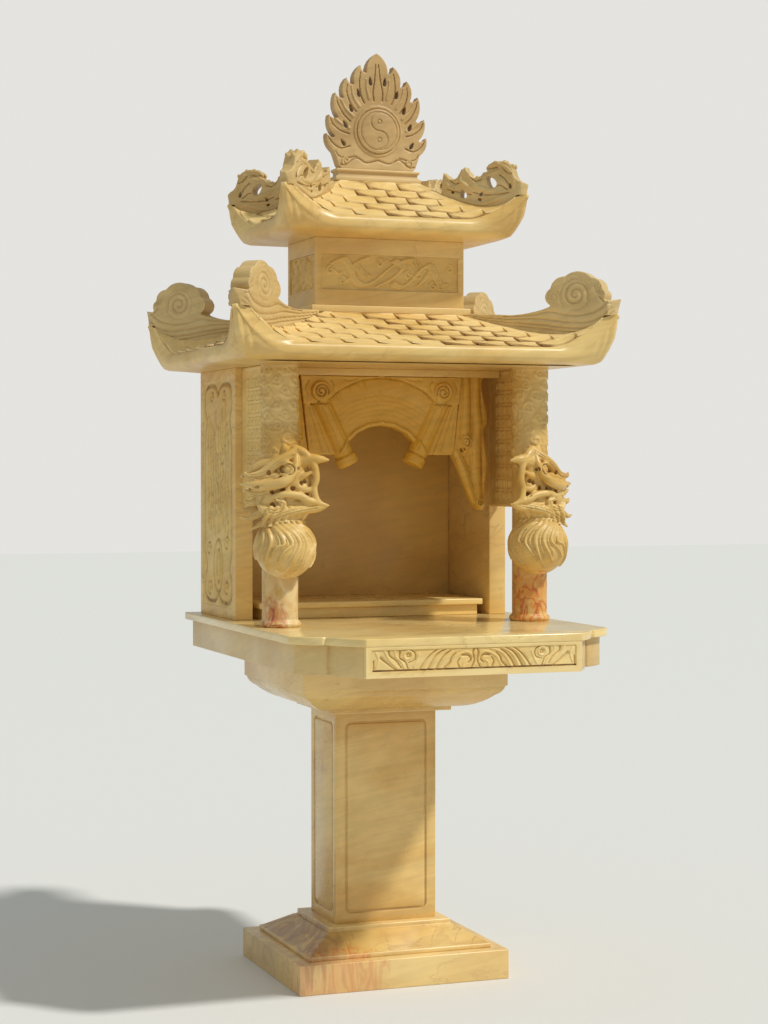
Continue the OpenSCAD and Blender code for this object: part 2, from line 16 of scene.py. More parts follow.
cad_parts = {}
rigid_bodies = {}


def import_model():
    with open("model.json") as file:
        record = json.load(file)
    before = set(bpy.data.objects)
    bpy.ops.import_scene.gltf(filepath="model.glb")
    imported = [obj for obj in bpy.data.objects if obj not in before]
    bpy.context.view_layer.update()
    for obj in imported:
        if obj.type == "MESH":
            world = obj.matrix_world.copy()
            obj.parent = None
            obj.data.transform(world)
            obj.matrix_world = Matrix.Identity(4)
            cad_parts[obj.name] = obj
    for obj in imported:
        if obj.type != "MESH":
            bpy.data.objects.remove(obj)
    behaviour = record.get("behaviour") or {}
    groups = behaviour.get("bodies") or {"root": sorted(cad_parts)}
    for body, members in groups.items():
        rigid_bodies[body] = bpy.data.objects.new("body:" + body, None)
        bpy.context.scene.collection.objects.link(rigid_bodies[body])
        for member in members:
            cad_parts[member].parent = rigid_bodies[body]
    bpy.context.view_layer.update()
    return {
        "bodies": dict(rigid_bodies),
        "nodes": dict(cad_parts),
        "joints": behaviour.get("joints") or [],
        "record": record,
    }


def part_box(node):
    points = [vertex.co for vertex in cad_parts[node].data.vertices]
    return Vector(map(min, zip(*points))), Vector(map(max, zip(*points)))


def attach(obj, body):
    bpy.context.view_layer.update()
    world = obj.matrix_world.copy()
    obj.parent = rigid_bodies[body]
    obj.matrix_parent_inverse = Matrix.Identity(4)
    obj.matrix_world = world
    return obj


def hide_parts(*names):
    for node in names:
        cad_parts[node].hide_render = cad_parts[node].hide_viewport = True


MM = 0.001
LOG = logging.getLogger("spirit_house")


# Curves and strokes, in millimetres


def smooth_curve(knots: list, steps: int = 6) -> np.ndarray:
    """Runs one smooth curve through knots.

    Args:
        knots: Points of two or three coordinates.
        steps: Points made for each stretch between knots.

    Returns:
        The curve's points, one a row.
    """
    k = np.asarray(knots, float)
    p = np.vstack([2 * k[0] - k[1], k, 2 * k[-1] - k[-2]])
    t = np.linspace(0, 1, steps, endpoint=False)[:, None]
    parts = [
        0.5 * (2 * b + (c - a) * t + (2 * a - 5 * b + 4 * c - d) * t**2 + (3 * b - a - 3 * c + d) * t**3)
        for a, b, c, d in zip(p[:-3], p[1:-2], p[2:-1], p[3:])
    ]
    return np.vstack(parts + [k[-1:]])


def spiral(centre: tuple, r0: float, r1: float, turns: float, start: float) -> np.ndarray:
    """Makes a flat spiral.

    Args:
        centre: Its middle.
        r0: Radius where it starts.
        r1: Radius where it ends.
        turns: Number of turns, negative to turn clockwise.
        start: Angle of its first point, in degrees.

    Returns:
        The spiral's points.
    """
    t = np.linspace(0, 1, int(abs(turns) * 16) + 3)
    a = math.radians(start) + 2 * math.pi * turns * t
    r = r0 + (r1 - r0) * t
    return np.c_[centre[0] + r * np.cos(a), centre[1] + r * np.sin(a)]


def drop(x: float, z: float, wide: float, tall: float, lean: float) -> np.ndarray:
    """Makes the outline of a teardrop.

    Args:
        x: Its middle across.
        z: Its middle in height.
        wide: Its width.
        tall: Its height.
        lean: How far its tip leans outward, in degrees.

    Returns:
        The outline's points.
    """
    a = np.linspace(0, 2 * math.pi, 14, endpoint=False)
    across, up = wide / 2 * np.sin(a) * (1 - 0.45 * np.cos(a)), tall / 2 * np.cos(a)
    c, s = math.cos(math.radians(lean)), math.sin(math.radians(lean))
    return np.c_[x + across * c + up * s, z + up * c - across * s]


def bulge(p: tuple, q: tuple, rise: float, steps: int = 5) -> np.ndarray:
    """Draws a shallow curve between two points.

    Args:
        p: Where it starts.
        q: Where it ends.
        rise: How far it rises to its right.
        steps: Number of its stretches.

    Returns:
        The curve's points.
    """
    p, q = np.array(p, float), np.array(q, float)
    way = q - p
    aside = np.array([way[1], -way[0]]) / np.linalg.norm(way)
    t = np.linspace(0, 1, steps + 1)[:, None]
    return p + way * t + aside * rise * 4 * t * (1 - t)


def flipped(points: np.ndarray) -> np.ndarray:
    """Mirrors points left to right."""
    return points * np.array([-1.0] + [1.0] * (points.shape[1] - 1))


class Section(Enum):
    """How a carved stroke is rounded across its width."""

    ROUND = "round"
    FLAT = "flat"


@dataclass(frozen=True)
class Stroke:
    """One raised or cut line of a relief; sizes in millimetres."""

    line: np.ndarray
    half: float
    height: float
    tip: float = -1.0
    section: Section = Section.ROUND
    leaf: bool = False

    def half_at(self, along: np.ndarray) -> np.ndarray:
        """Gives the half width along the stroke; a leaf is widest in its middle.

        Args:
            along: Shares of the length.

        Returns:
            The half width at each share.
        """
        if self.leaf:
            return self.half * np.sin(np.pi * np.clip(along * 0.94 + 0.05, 0, 1)) ** 0.7 + 0.3
        tip = self.half if self.tip < 0 else self.tip
        return self.half + (tip - self.half) * along

    def flip(self) -> "Stroke":
        """Gives the same stroke mirrored left to right."""
        return Stroke(flipped(self.line), self.half, self.height, self.tip, self.section, self.leaf)


def distance_to(points: np.ndarray, line: np.ndarray) -> tuple[np.ndarray, np.ndarray]:
    """Measures how far points lie from a line.

    Args:
        points: The points, one a row.
        line: The line's points.

    Returns:
        The distances, and the share of the line's length at each nearest place.
    """
    step = line[1:] - line[:-1]
    length = np.sqrt((step**2).sum(1)) + 1e-9
    start = np.r_[0, np.cumsum(length)]
    best = np.full(len(points), 1e9)
    along = np.zeros(len(points))
    for i, d in enumerate(step):
        rel = points - line[i]
        t = np.clip(rel @ d / length[i] ** 2, 0, 1)
        gap = np.sqrt(((rel - t[:, None] * d) ** 2).sum(1))
        near = gap < best
        best[near] = gap[near]
        along[near] = (start[i] + t[near] * length[i]) / start[-1]
    return best, along


def relief_height(points: np.ndarray, strokes: list) -> np.ndarray:
    """Works out the carved height over a flat face.

    Args:
        points: Places on the face, in millimetres.
        strokes: What is carved there.

    Returns:
        Height of each place over the face, in millimetres.
    """
    up = np.zeros(len(points))
    cut = np.zeros(len(points))
    for s in strokes:
        reach = max(s.half, s.tip)
        near = np.where(((points > s.line.min(0) - reach) & (points < s.line.max(0) + reach)).all(1))[0]
        if len(near) == 0:
            continue
        gap, along = distance_to(points[near], s.line)
        x = np.clip(1 - gap / np.maximum(s.half_at(along), 0.2), 0, 1)
        if s.section is Section.ROUND:
            x = np.sqrt(x * (2 - x))
        else:
            x = np.clip(x * 3, 0, 1) ** 2 * (3 - 2 * np.clip(x * 3, 0, 1))
        if s.height > 0:
            up[near] = np.maximum(up[near], s.height * x)
        else:
            cut[near] = np.minimum(cut[near], s.height * x)
    return up + cut


# Meshes


def new_mesh_object(name: str, points: np.ndarray, faces: list) -> bpy.types.Object:
    """Makes a mesh object at the origin.

    Args:
        name: The object's name.
        points: Corners in metres.
        faces: Corner numbers of each face.

    Returns:
        The object, linked into the scene.
    """
    mesh = bpy.data.meshes.new(name)
    mesh.from_pydata([tuple(p) for p in points], [], [tuple(f) for f in faces])
    mesh.update()
    obj = bpy.data.objects.new(name, mesh)
    bpy.context.scene.collection.objects.link(obj)
    return obj


class Clay:
    """Closed forms gathered in one local space in millimetres, then fused into one carved solid."""

    def __init__(self) -> None:
        """Starts with nothing."""
        self.points: list = []
        self.faces: list = []

    def add(self, points: np.ndarray, faces: list) -> None:
        """Adds one closed form.

        Args:
            points: Its corners.
            faces: Corner numbers of each of its faces.
        """
        start = len(self.points)
        self.points += [tuple(p) for p in points]
        self.faces += [tuple(start + i for i in f) for f in faces]

    def tube(self, knots: list, radii: list, sides: int = 12) -> None:
        """Adds a round bar of changing radius.

        Args:
            knots: Points along its middle, each of three coordinates.
            radii: Its radius at each knot.
            sides: Corners of its section.
        """
        both = smooth_curve(np.c_[np.asarray(knots, float), np.asarray(radii, float)], 5)
        line, radius = both[:, :3], np.maximum(both[:, 3], 0.4)
        way = np.gradient(line, axis=0)
        way /= np.linalg.norm(way, axis=1)[:, None] + 1e-9
        ends = []
        for i, sign in ((0, -1), (-1, 1)):
            turns = (0.6, 1.15, 1.5)
            cap = [(line[i] + way[i] * sign * radius[i] * math.sin(a), radius[i] * math.cos(a))
                   for a in turns]
            ends.append(cap[::sign])
        rings = [e + (way[0],) for e in ends[0]] + [(p, r, w) for p, r, w in zip(line, radius, way)]
        rings += [e + (way[-1],) for e in ends[1]]
        side = np.array([0.0, 0.0, 1.0]) if abs(way[0][2]) < 0.9 else np.array([1.0, 0.0, 0.0])
        points = []
        for p, r, w in rings:
            side = side - w * (side @ w)
            side /= np.linalg.norm(side) + 1e-9
            other = np.cross(w, side)
            for k in range(sides):
                a = 2 * math.pi * k / sides
                points.append(p + (side * math.cos(a) + other * math.sin(a)) * r)
        self.add(np.array(points), closed_grid(len(rings), sides, True))

    def ball(self, centre: tuple, radii: tuple) -> None:
        """Adds an egg shape.

        Args:
            centre: Its middle.
            radii: Its radius along each axis.
        """
        rows, sides = (9, 16) if max(radii) < 30 else (21, 36)
        points = [
            np.array(centre)
            + np.array(radii) * [math.sin(a) * math.cos(b), math.sin(a) * math.sin(b), math.cos(a)]
            for a in np.linspace(0.02, math.pi - 0.02, rows)
            for b in np.linspace(0, 2 * math.pi, sides, endpoint=False)
        ]
        self.add(np.array(points), closed_grid(rows, sides))

    def lathe(self, foot: tuple, head: tuple, profile: list, sides: int = 36) -> None:
        """Adds a turned form.

        Args:
            foot: Where its axis starts.
            head: A point further along the axis.
            profile: Distance along the axis and radius of each ring.
            sides: Corners of each ring.
        """
        base = np.array(foot, float)
        way = np.array(head, float) - base
        way /= np.linalg.norm(way)
        across = np.cross(way, [0.0, 1.0, 0.0] if abs(way[1]) < 0.9 else [1.0, 0.0, 0.0])
        across /= np.linalg.norm(across)
        other = np.cross(way, across)
        angles = np.linspace(0, 2 * math.pi, sides, endpoint=False)
        points = [
            base + way * s + r * (across * math.cos(a) + other * math.sin(a))
            for s, r in profile
            for a in angles
        ]
        self.add(np.array(points), closed_grid(len(profile), sides))

    def plate(self, outline: np.ndarray, low: float, high: float, holes: tuple = ()) -> None:
        """Adds a flat outline in x and z, as thick as from low to high in y.

        Args:
            outline: Its corners.
            low: Where it starts in y.
            high: Where it ends in y.
            holes: Outlines cut through it.
        """
        loops = [np.asarray(outline, float)] + [np.asarray(h, float) for h in holes]
        flat = np.vstack(loops)
        triangles = tessellate_polygon([[Vector((p[0], p[1], 0)) for p in loop] for loop in loops])
        n = len(flat)
        points = [(p[0], y, p[1]) for y in (low, high) for p in flat]
        faces = [tuple(t) for t in triangles] + [tuple(i + n for i in t)[::-1] for t in triangles]
        start = 0
        for loop in loops:
            m = len(loop)
            rim = [(start + i, start + (i + 1) % m) for i in range(m)]
            faces += [(i, k, n + k, n + i) for i, k in rim]
            start += m
        self.add(np.array(points), faces)

    def mesh(self, name: str) -> bpy.types.Object:
        """Makes the forms into one mesh with outward faces, in its local place.

        Args:
            name: The object's name.

        Returns:
            The object.
        """
        obj = new_mesh_object(name, np.array(self.points) * MM, self.faces)
        turn_outward(obj)
        return obj


def turn_outward(obj: bpy.types.Object) -> None:
    """Turns every face of a mesh to look outward.

    Args:
        obj: The mesh object.
    """
    work = bmesh.new()
    work.from_mesh(obj.data)
    bmesh.ops.recalc_face_normals(work, faces=work.faces)
    work.to_mesh(obj.data)
    work.free()


def applied(obj: bpy.types.Object) -> None:
    """Makes the result of an object's modifiers its own mesh.

    Args:
        obj: The mesh object.
    """
    depsgraph = bpy.context.evaluated_depsgraph_get()
    mesh = bpy.data.meshes.new_from_object(obj.evaluated_get(depsgraph), depsgraph=depsgraph)
    obj.modifiers.clear()
    old = obj.data
    obj.data = mesh
    bpy.data.meshes.remove(old)


def fused(obj: bpy.types.Object, cell: float, smooth: int = 2) -> None:
    """Fuses the forms of a mesh into one skin of even cells.

    Args:
        obj: The mesh object.
        cell: Size of a cell in millimetres.
        smooth: Rounds of smoothing after it.
    """
    remesh = obj.modifiers.new("fuse", "REMESH")
    remesh.mode = "VOXEL"
    remesh.voxel_size = cell * MM
    if smooth:
        soften = obj.modifiers.new("soften", "SMOOTH")
        soften.iterations = smooth
        soften.factor = 0.5
    applied(obj)


def thinned(obj: bpy.types.Object, keep: float) -> bpy.types.Object:
    """Thins out a mesh's faces, most where it is nearly flat.

    Args:
        obj: The mesh object.
        keep: Share of the faces that stay.

    Returns:
        The same object.
    """
    obj.modifiers.new("thin", "DECIMATE").ratio = keep
    applied(obj)
    return obj


def corners(obj: bpy.types.Object) -> tuple[np.ndarray, np.ndarray]:
    """Reads the corners of a mesh.

    Args:
        obj: The mesh object.

    Returns:
        The corners in millimetres, and their normals.
    """
    n = len(obj.data.vertices)
    co = np.zeros(n * 3)
    no = np.zeros(n * 3)
    obj.data.vertices.foreach_get("co", co)
    obj.data.vertices.foreach_get("normal", no)
    return co.reshape(-1, 3) / MM, no.reshape(-1, 3)


def set_corners(obj: bpy.types.Object, points: np.ndarray) -> None:
    """Moves a mesh's corners to points given in millimetres."""
    obj.data.vertices.foreach_set("co", (points * MM).ravel())
    obj.data.update()


def note_depth(obj: bpy.types.Object, depth: np.ndarray) -> None:
    """Stores how far each corner was raised or cut, for the finish to paint dust and shade into the cut
    places.
    """
    attribute = obj.data.attributes.get("carved") or obj.data.attributes.new("carved", "FLOAT", "POINT")
    attribute.data.foreach_set("value", depth.astype(np.float32))


def facing_share(normals: np.ndarray) -> np.ndarray:
    """Gives how squarely corners look along y, from 0 to 1."""
    return np.clip((np.abs(normals[:, 1]) - 0.55) / 0.35, 0, 1)


def carve_faces(obj: bpy.types.Object, strokes: list, back: bool = True) -> None:
    """Carves strokes, drawn in x and z, into the faces of a plate that look along y.

    Args:
        obj: A fused plate in its local place.
        strokes: What is carved.
        back: Whether its back is carved too.
    """
    co, no = corners(obj)
    facing = facing_share(no)
    if not back:
        facing *= no[:, 1] < 0
    height = relief_height(co[:, [0, 2]], strokes) * facing
    co[:, 1] += np.sign(no[:, 1]) * height
    set_corners(obj, co)
    note_depth(obj, height)


def moved(obj: bpy.types.Object, matrix: Matrix) -> bpy.types.Object:
    """Moves a mesh, and keeps its faces outward.

    Args:
        obj: The mesh object.
        matrix: The move, in metres.

    Returns:
        The same object.
    """
    obj.data.transform(matrix)
    if matrix.determinant() < 0:
        obj.data.flip_normals()
    obj.data.update()
    return obj


def grid_faces(rows: int, columns: int, closed: bool = False) -> list:
    """Lists the faces of a grid of corners.

    Args:
        rows: Number of rows.
        columns: Corners in each row.
        closed: Whether each row's end joins its start.

    Returns:
        Corner numbers of each face.
    """
    last = columns if closed else columns - 1
    pairs = [(i * columns + k, i * columns + (k + 1) % columns)
             for i in range(rows - 1) for k in range(last)]
    return [(a, b, b + columns, a + columns) for a, b in pairs]


def closed_grid(rows: int, sides: int, turned_caps: bool = False) -> list:
    """Lists the faces of rings joined to a closed form.

    Args:
        rows: Number of rings.
        sides: Corners in each ring.
        turned_caps: Whether the first cap is wound backward, and not the last.

    Returns:
        Corner numbers of each face.
    """
    caps = [tuple(range(sides)), tuple((rows - 1) * sides + k for k in range(sides))]
    caps = [caps[0][::-1], caps[1]] if turned_caps else [caps[0], caps[1][::-1]]
    return grid_faces(rows, sides, True) + caps


def grid_rim(rows: int, columns: int) -> list:
    """Lists the corners on the edge of a grid.

    Args:
        rows: Number of rows.
        columns: Corners in each row.

    Returns:
        Their numbers, once round.
    """
    right = [j * columns + columns - 1 for j in range(1, rows)]
    top = [(rows - 1) * columns + i for i in range(columns - 2, -1, -1)]
    left = [j * columns for j in range(rows - 2, 0, -1)]
    return list(range(columns)) + right + top + left


# Finishes


def linear(r: float, g: float, b: float) -> tuple:
    """Turns a colour as seen on a screen into the renderer's own values."""
    return tuple(c / 12.92 if c <= 0.04045 else ((c + 0.055) / 1.055) ** 2.4 for c in (r, g, b)) + (1.0,)


class Nodes:
    """Short calls for building a node tree."""

    def __init__(self, tree: bpy.types.NodeTree) -> None:
        """Works on one tree."""
        self.tree = tree

    def add(self, kind: str, **values: object) -> bpy.types.Node:
        """Adds a node.

        Args:
            kind: The node's type.
            values: Its properties, and its inputs by name with spaces as _, or by number as i0, i1.

        Returns:
            The node.
        """
        node = self.tree.nodes.new(kind)
        for key, value in values.items():
            if hasattr(node, key):
                setattr(node, key, value)
                continue
            numbered = key[0] == "i" and key[1:].isdigit()
            self.feed(node.inputs[int(key[1:]) if numbered else key.replace("_", " ")], value)
        return node

    def feed(self, socket: bpy.types.NodeSocket, value: object) -> None:
        """Feeds an input with a plain value, or with another node's output.

        Args:
            socket: The input.
            value: What feeds it.
        """
        if isinstance(value, bpy.types.NodeSocket):
            self.tree.links.new(value, socket)
        else:
            socket.default_value = value

    def math(self, operation: str, a: object, b: object = 0.0, clamp: bool = False) -> bpy.types.NodeSocket:
        """Adds a math node and gives its result."""
        return self.add("ShaderNodeMath", operation=operation, use_clamp=clamp, i0=a, i1=b).outputs[0]

    def ramp(self, value: object, low: float, high: float, start: float = 0.0,
             end: float = 1.0) -> bpy.types.NodeSocket:
        """Maps a value smoothly from the range low to high to the range start to end."""
        ends = {"i0": value, "i1": low, "i2": high, "i3": start, "i4": end}
        return self.add("ShaderNodeMapRange", interpolation_type="SMOOTHSTEP", **ends).outputs[0]

    def noise(self, place: object, scale: float, detail: float = 3.0,
              warp: float = 0.0) -> bpy.types.NodeSocket:
        """Adds a noise texture and gives its value."""
        values = {"Vector": place, "Scale": scale, "Detail": detail, "Distortion": warp}
        return self.add("ShaderNodeTexNoise", **values).outputs["Fac"]

    def mix(self, share: object, a: object, b: object, blend: str = "MIX") -> bpy.types.NodeSocket:
        """Mixes two colours."""
        node = self.add("ShaderNodeMix", data_type="RGBA", blend_type=blend, i0=share, i6=a, i7=b)
        return node.outputs[2]

    def vector(self, operation: str, a: object, b: object = (0.0, 0.0, 0.0)) -> bpy.types.Node:
        """Adds a vector math node."""
        return self.add("ShaderNodeVectorMath", operation=operation, i0=a, i1=b)

    def band(self, value: object, middle: float, width: float, peak: float = 1.0) -> bpy.types.NodeSocket:
        """Gives a soft line where a value crosses its middle."""
        return self.ramp(self.math("ABSOLUTE", self.math("SUBTRACT", value, middle)), 0.0, width, peak, 0.0)


def new_group(name: str, takes: list, gives: list) -> tuple:
    """Starts a shader node group.

    Args:
        name: Its name.
        takes: Name, socket type and default of each input.
        gives: Name and socket type of each output.

    Returns:
        The group, its node builder, its input node and its output node.
    """
    group = bpy.data.node_groups.new(name, "ShaderNodeTree")
    for label, kind, default in takes:
        socket = group.interface.new_socket(name=label, in_out="INPUT", socket_type=kind)
        socket.default_value = default
    for label, kind in gives:
        group.interface.new_socket(name=label, in_out="OUTPUT", socket_type=kind)
    nodes = Nodes(group)
    return group, nodes, nodes.add("NodeGroupInput"), nodes.add("NodeGroupOutput")


FLOAT = "NodeSocketFloat"
COLOUR = "NodeSocketColor"
VECTOR = "NodeSocketVector"
WHITE = (1, 1, 1, 1)


def marble_group() -> bpy.types.NodeTree:
    """Builds the clouded and veined marble.

    Returns:
        The group, which gives its colour and a fine height.
    """
    group, n, takes, gives = new_group(
        "clouded_marble",
        [("Shift", VECTOR, (0, 0, 0)), ("Honey", COLOUR, WHITE), ("Pale", COLOUR, WHITE),
         ("Vein", COLOUR, WHITE), ("Vein amount", FLOAT, 0.4)],
        [("Color", COLOUR), ("Height", FLOAT)],
    )
    place = n.add("ShaderNodeTexCoord").outputs["Object"]
    place = n.vector("ADD", place, takes.outputs["Shift"]).outputs[0]
    slant = n.add("ShaderNodeMapping", Vector=place, Rotation=(0.5, 0.35, 0.2), Scale=(1.0, 1.0, 2.2))
    slant = slant.outputs[0]
    cloud = n.ramp(n.noise(slant, 2.6, 5.0, 0.6), 0.34, 0.66)
    colour = n.mix(cloud, takes.outputs["Honey"], takes.outputs["Pale"])
    mottle = n.ramp(n.noise(place, 22.0, 4.0, 0.3), 0.35, 0.7, 0.96, 1.03)
    layers = n.vector("MULTIPLY", slant, (1.0, 1.0, 7.0)).outputs[0]
    mottle = n.math("MULTIPLY", mottle, n.ramp(n.noise(layers, 6.0, 5.0, 0.5), 0.35, 0.62, 0.93, 1.02))
    shade = n.add("ShaderNodeCombineColor", Red=mottle, Green=mottle, Blue=mottle).outputs[0]
    colour = n.mix(1.0, colour, shade, "MULTIPLY")
    thin = n.band(n.noise(slant, 3.4, 6.0, 1.6), 0.5, 0.016)
    broad = n.band(n.noise(slant, 1.7, 4.0, 1.0), 0.47, 0.05, 0.45)
    patch = n.ramp(n.noise(place, 1.9, 2.0), 0.42, 0.62)
    veins = n.math("MULTIPLY", n.math("MAXIMUM", thin, broad), patch)
    veins = n.math("MULTIPLY", veins, takes.outputs["Vein amount"], True)
    colour = n.mix(veins, colour, takes.outputs["Vein"])
    n.feed(gives.inputs["Color"], colour)
    n.feed(gives.inputs["Height"], n.noise(place, 420.0, 2.0))
    return group


def stain_and_shade_group() -> bpy.types.NodeTree:
    """Builds the rusty streaks that run through the stone round one place, also used for a wash of painted
    shade.

    Returns:
        The group, which gives the masks of the wash and of the lines in it.
    """
    group, n, takes, gives = new_group(
        "iron_streaks_and_shade",
        [("Centre", VECTOR, (0, 0, 0)), ("Reach", FLOAT, 0.1), ("Along", VECTOR, (1, 1, 1)),
         ("Flow", VECTOR, (1, 1, 1))],
        [("Wash", FLOAT), ("Lines", FLOAT)],
    )
    place = n.add("ShaderNodeTexCoord").outputs["Object"]
    offset = n.vector("SUBTRACT", place, takes.outputs["Centre"]).outputs[0]
    offset = n.vector("MULTIPLY", offset, takes.outputs["Along"]).outputs[0]
    far = n.math("DIVIDE", n.vector("LENGTH", offset).outputs["Value"], takes.outputs["Reach"])
    flow = n.vector("MULTIPLY", place, takes.outputs["Flow"]).outputs[0]
    swirl = n.noise(flow, 13.0, 5.0, 1.2)
    ragged = n.math("ADD", far, n.math("MULTIPLY", n.math("SUBTRACT", swirl, 0.5), 1.6))
    patches = n.ramp(n.noise(flow, 20.0, 4.0, 1.0), 0.36, 0.56, 0.15, 1.0)
    wash = n.math("MULTIPLY", n.ramp(ragged, 0.3, 1.1, 1.0, 0.0), patches)
    line = n.band(n.noise(flow, 7.0, 6.0, 1.6), 0.5, 0.075)
    lines = n.math("MULTIPLY", line, n.ramp(ragged, 0.4, 1.1, 1.0, 0.0))
    n.feed(gives.inputs["Wash"], wash)
    n.feed(gives.inputs["Lines"], lines)
    return group


def hollow_group() -> bpy.types.NodeTree:
    """Builds the tints of carving: brown dust and painted shade in cuts and hollows, a pale rub on edges.

    Returns:
        The group, which gives the tinted colour and a mask of the hollows.
    """
    group, n, takes, gives = new_group(
        "carved_tint",
        [("Color", COLOUR, WHITE), ("Dust", COLOUR, WHITE), ("Rub", COLOUR, WHITE),
         ("Strength", FLOAT, 1.0)],
        [("Color", COLOUR), ("Hollow", FLOAT)],
    )
    sharp = n.add("ShaderNodeNewGeometry").outputs["Pointiness"]
    depth = n.add("ShaderNodeAttribute", attribute_name="carved").outputs["Fac"]
    # Painted shade with dust: concave creases and cut or sunk places are darkened towards the dust colour.
    hollow = n.math("MAXIMUM", n.ramp(sharp, 0.38, 0.485, 1.0, 0.0), n.ramp(depth, -4.0, -1.2, 0.8, 0.0))
    place = n.add("ShaderNodeTexCoord").outputs["Object"]
    uneven = n.ramp(n.noise(place, 30.0, 3.0), 0.3, 0.65, 0.45, 1.0)
    hollow = n.math("MULTIPLY", n.math("MULTIPLY", hollow, uneven), takes.outputs["Strength"], True)
    rub = n.math("MULTIPLY", takes.outputs["Strength"], 0.6)
    edge = n.math("MULTIPLY", n.ramp(sharp, 0.52, 0.60), rub, True)
    colour = n.mix(hollow, takes.outputs["Color"], takes.outputs["Dust"])
    colour = n.mix(edge, colour, takes.outputs["Rub"])
    n.feed(gives.inputs["Color"], colour)
    n.feed(gives.inputs["Hollow"], hollow)
    return group


@dataclass(frozen=True)
class StainAndShade:
    """A place where rusty streaks run through the stone, also used for a wash of painted shade; in metres,
    its colours as seen on a screen.
    """

    centre: tuple
    reach: float
    along: tuple = (1.0, 1.0, 1.0)
    flow: tuple = (1.6, 1.6, 0.6)
    wash: tuple = (0.80, 0.45, 0.30)
    line: tuple = (0.55, 0.16, 0.12)
    strength: float = 0.75


@dataclass(frozen=True)
class Marble:
    """One finish of the honey-coloured marble; its colours are as seen on a screen."""

    name: str
    slot: str
    rough: float
    honey: tuple = (0.85, 0.68, 0.38)
    pale: tuple = (0.92, 0.79, 0.51)
    vein: tuple = (0.66, 0.46, 0.25)
    # The hollow colour paints brown dust together with painted shade in cuts and hollows; carved sets how
    # strongly.
    dust: tuple = (0.58, 0.41, 0.20)
    rub: tuple = (0.97, 0.86, 0.62)
    veins: float = 0.45
    carved: float = 1.0
    shift: tuple = (0.0, 0.0, 0.0)
    grain: float = 0.08
    grain_height: float = 0.0006
    smear: tuple = (0.85, 1.25)
    dull: float = 0.25
    stains_and_shade: tuple = ()

    def build(self, groups: dict) -> bpy.types.Material:
        """Makes the material from the shared groups.

        Args:
            groups: The shared node groups by name.

        Returns:
            The material.
        """
        material = bpy.data.materials.new(self.name)
        material.use_nodes = True
        tree = material.node_tree
        tree.nodes.clear()
        n = Nodes(tree)
        stone = n.add("ShaderNodeGroup", node_tree=groups["marble"], Shift=self.shift,
                      Honey=linear(*self.honey), Pale=linear(*self.pale), Vein=linear(*self.vein),
                      Vein_amount=self.veins)
        colour = stone.outputs["Color"]
        for stain_and_shade in self.stains_and_shade:
            streaks = n.add("ShaderNodeGroup", node_tree=groups["stain_and_shade"], Centre=stain_and_shade.centre,
                            Reach=stain_and_shade.reach, Along=stain_and_shade.along, Flow=stain_and_shade.flow)
            for mask, tone in (("Wash", stain_and_shade.wash), ("Lines", stain_and_shade.line)):
                share = n.math("MULTIPLY", streaks.outputs[mask], stain_and_shade.strength)
                colour = n.mix(share, colour, linear(*tone))
        tint = n.add("ShaderNodeGroup", node_tree=groups["hollow"], Color=colour, Dust=linear(*self.dust),
                     Rub=linear(*self.rub), Strength=self.carved)
        shader = n.add("ShaderNodeBsdfPrincipled", Base_Color=tint.outputs["Color"])
        smear = n.noise(n.add("ShaderNodeTexCoord").outputs["Object"], 7.0, 3.0)
        rough = n.ramp(smear, 0.3, 0.7, self.rough * self.smear[0], self.rough * self.smear[1])
        rough = n.math("ADD", rough, n.math("MULTIPLY", tint.outputs["Hollow"], self.dull), True)
        tree.links.new(rough, shader.inputs["Roughness"])
        bump = n.add("ShaderNodeBump", Strength=self.grain, Distance=self.grain_height,
                     Height=stone.outputs["Height"])
        tree.links.new(bump.outputs[0], shader.inputs["Normal"])
        out = n.add("ShaderNodeOutputMaterial")
        tree.links.new(shader.outputs[0], out.inputs[0])
        return material


BASE_STAINS_AND_SHADE = (
    StainAndShade((-0.262, -0.262, 0.09), 0.115, (1.0, 1.0, 0.6), (2.4, 2.4, 0.4), (0.84, 0.50, 0.36),
          (0.66, 0.28, 0.20)),
    StainAndShade((-0.15, -0.272, 0.07), 0.10, (1.0, 1.0, 0.6), (2.2, 2.2, 0.4), (0.90, 0.62, 0.34),
          (0.78, 0.42, 0.20)),
    # Painted shade: a darker grey-brown wash over the base's left side, where shade falls.
    StainAndShade((-0.30, 0.02, 0.11), 0.24, (1.0, 0.7, 1.4), (1.2, 0.8, 0.8), (0.68, 0.55, 0.39),
          (0.64, 0.48, 0.33)),
)
COLUMN_STAINS = (
    StainAndShade((-0.35, -0.32, 1.06), 0.11, (1.0, 1.0, 0.8), (1.4, 1.4, 1.0), (0.90, 0.79, 0.58),
          (0.93, 0.85, 0.66)),
    StainAndShade((-0.394, -0.312, 1.0), 0.045, (1.0, 1.0, 0.7), (2.4, 2.4, 2.0), (0.80, 0.44, 0.30),
          (0.62, 0.22, 0.15)),
    StainAndShade((0.345, -0.31, 1.04), 0.085, (1.0, 1.0, 0.8), (2.6, 2.6, 2.0), (0.88, 0.56, 0.22),
          (0.74, 0.30, 0.11)),
)


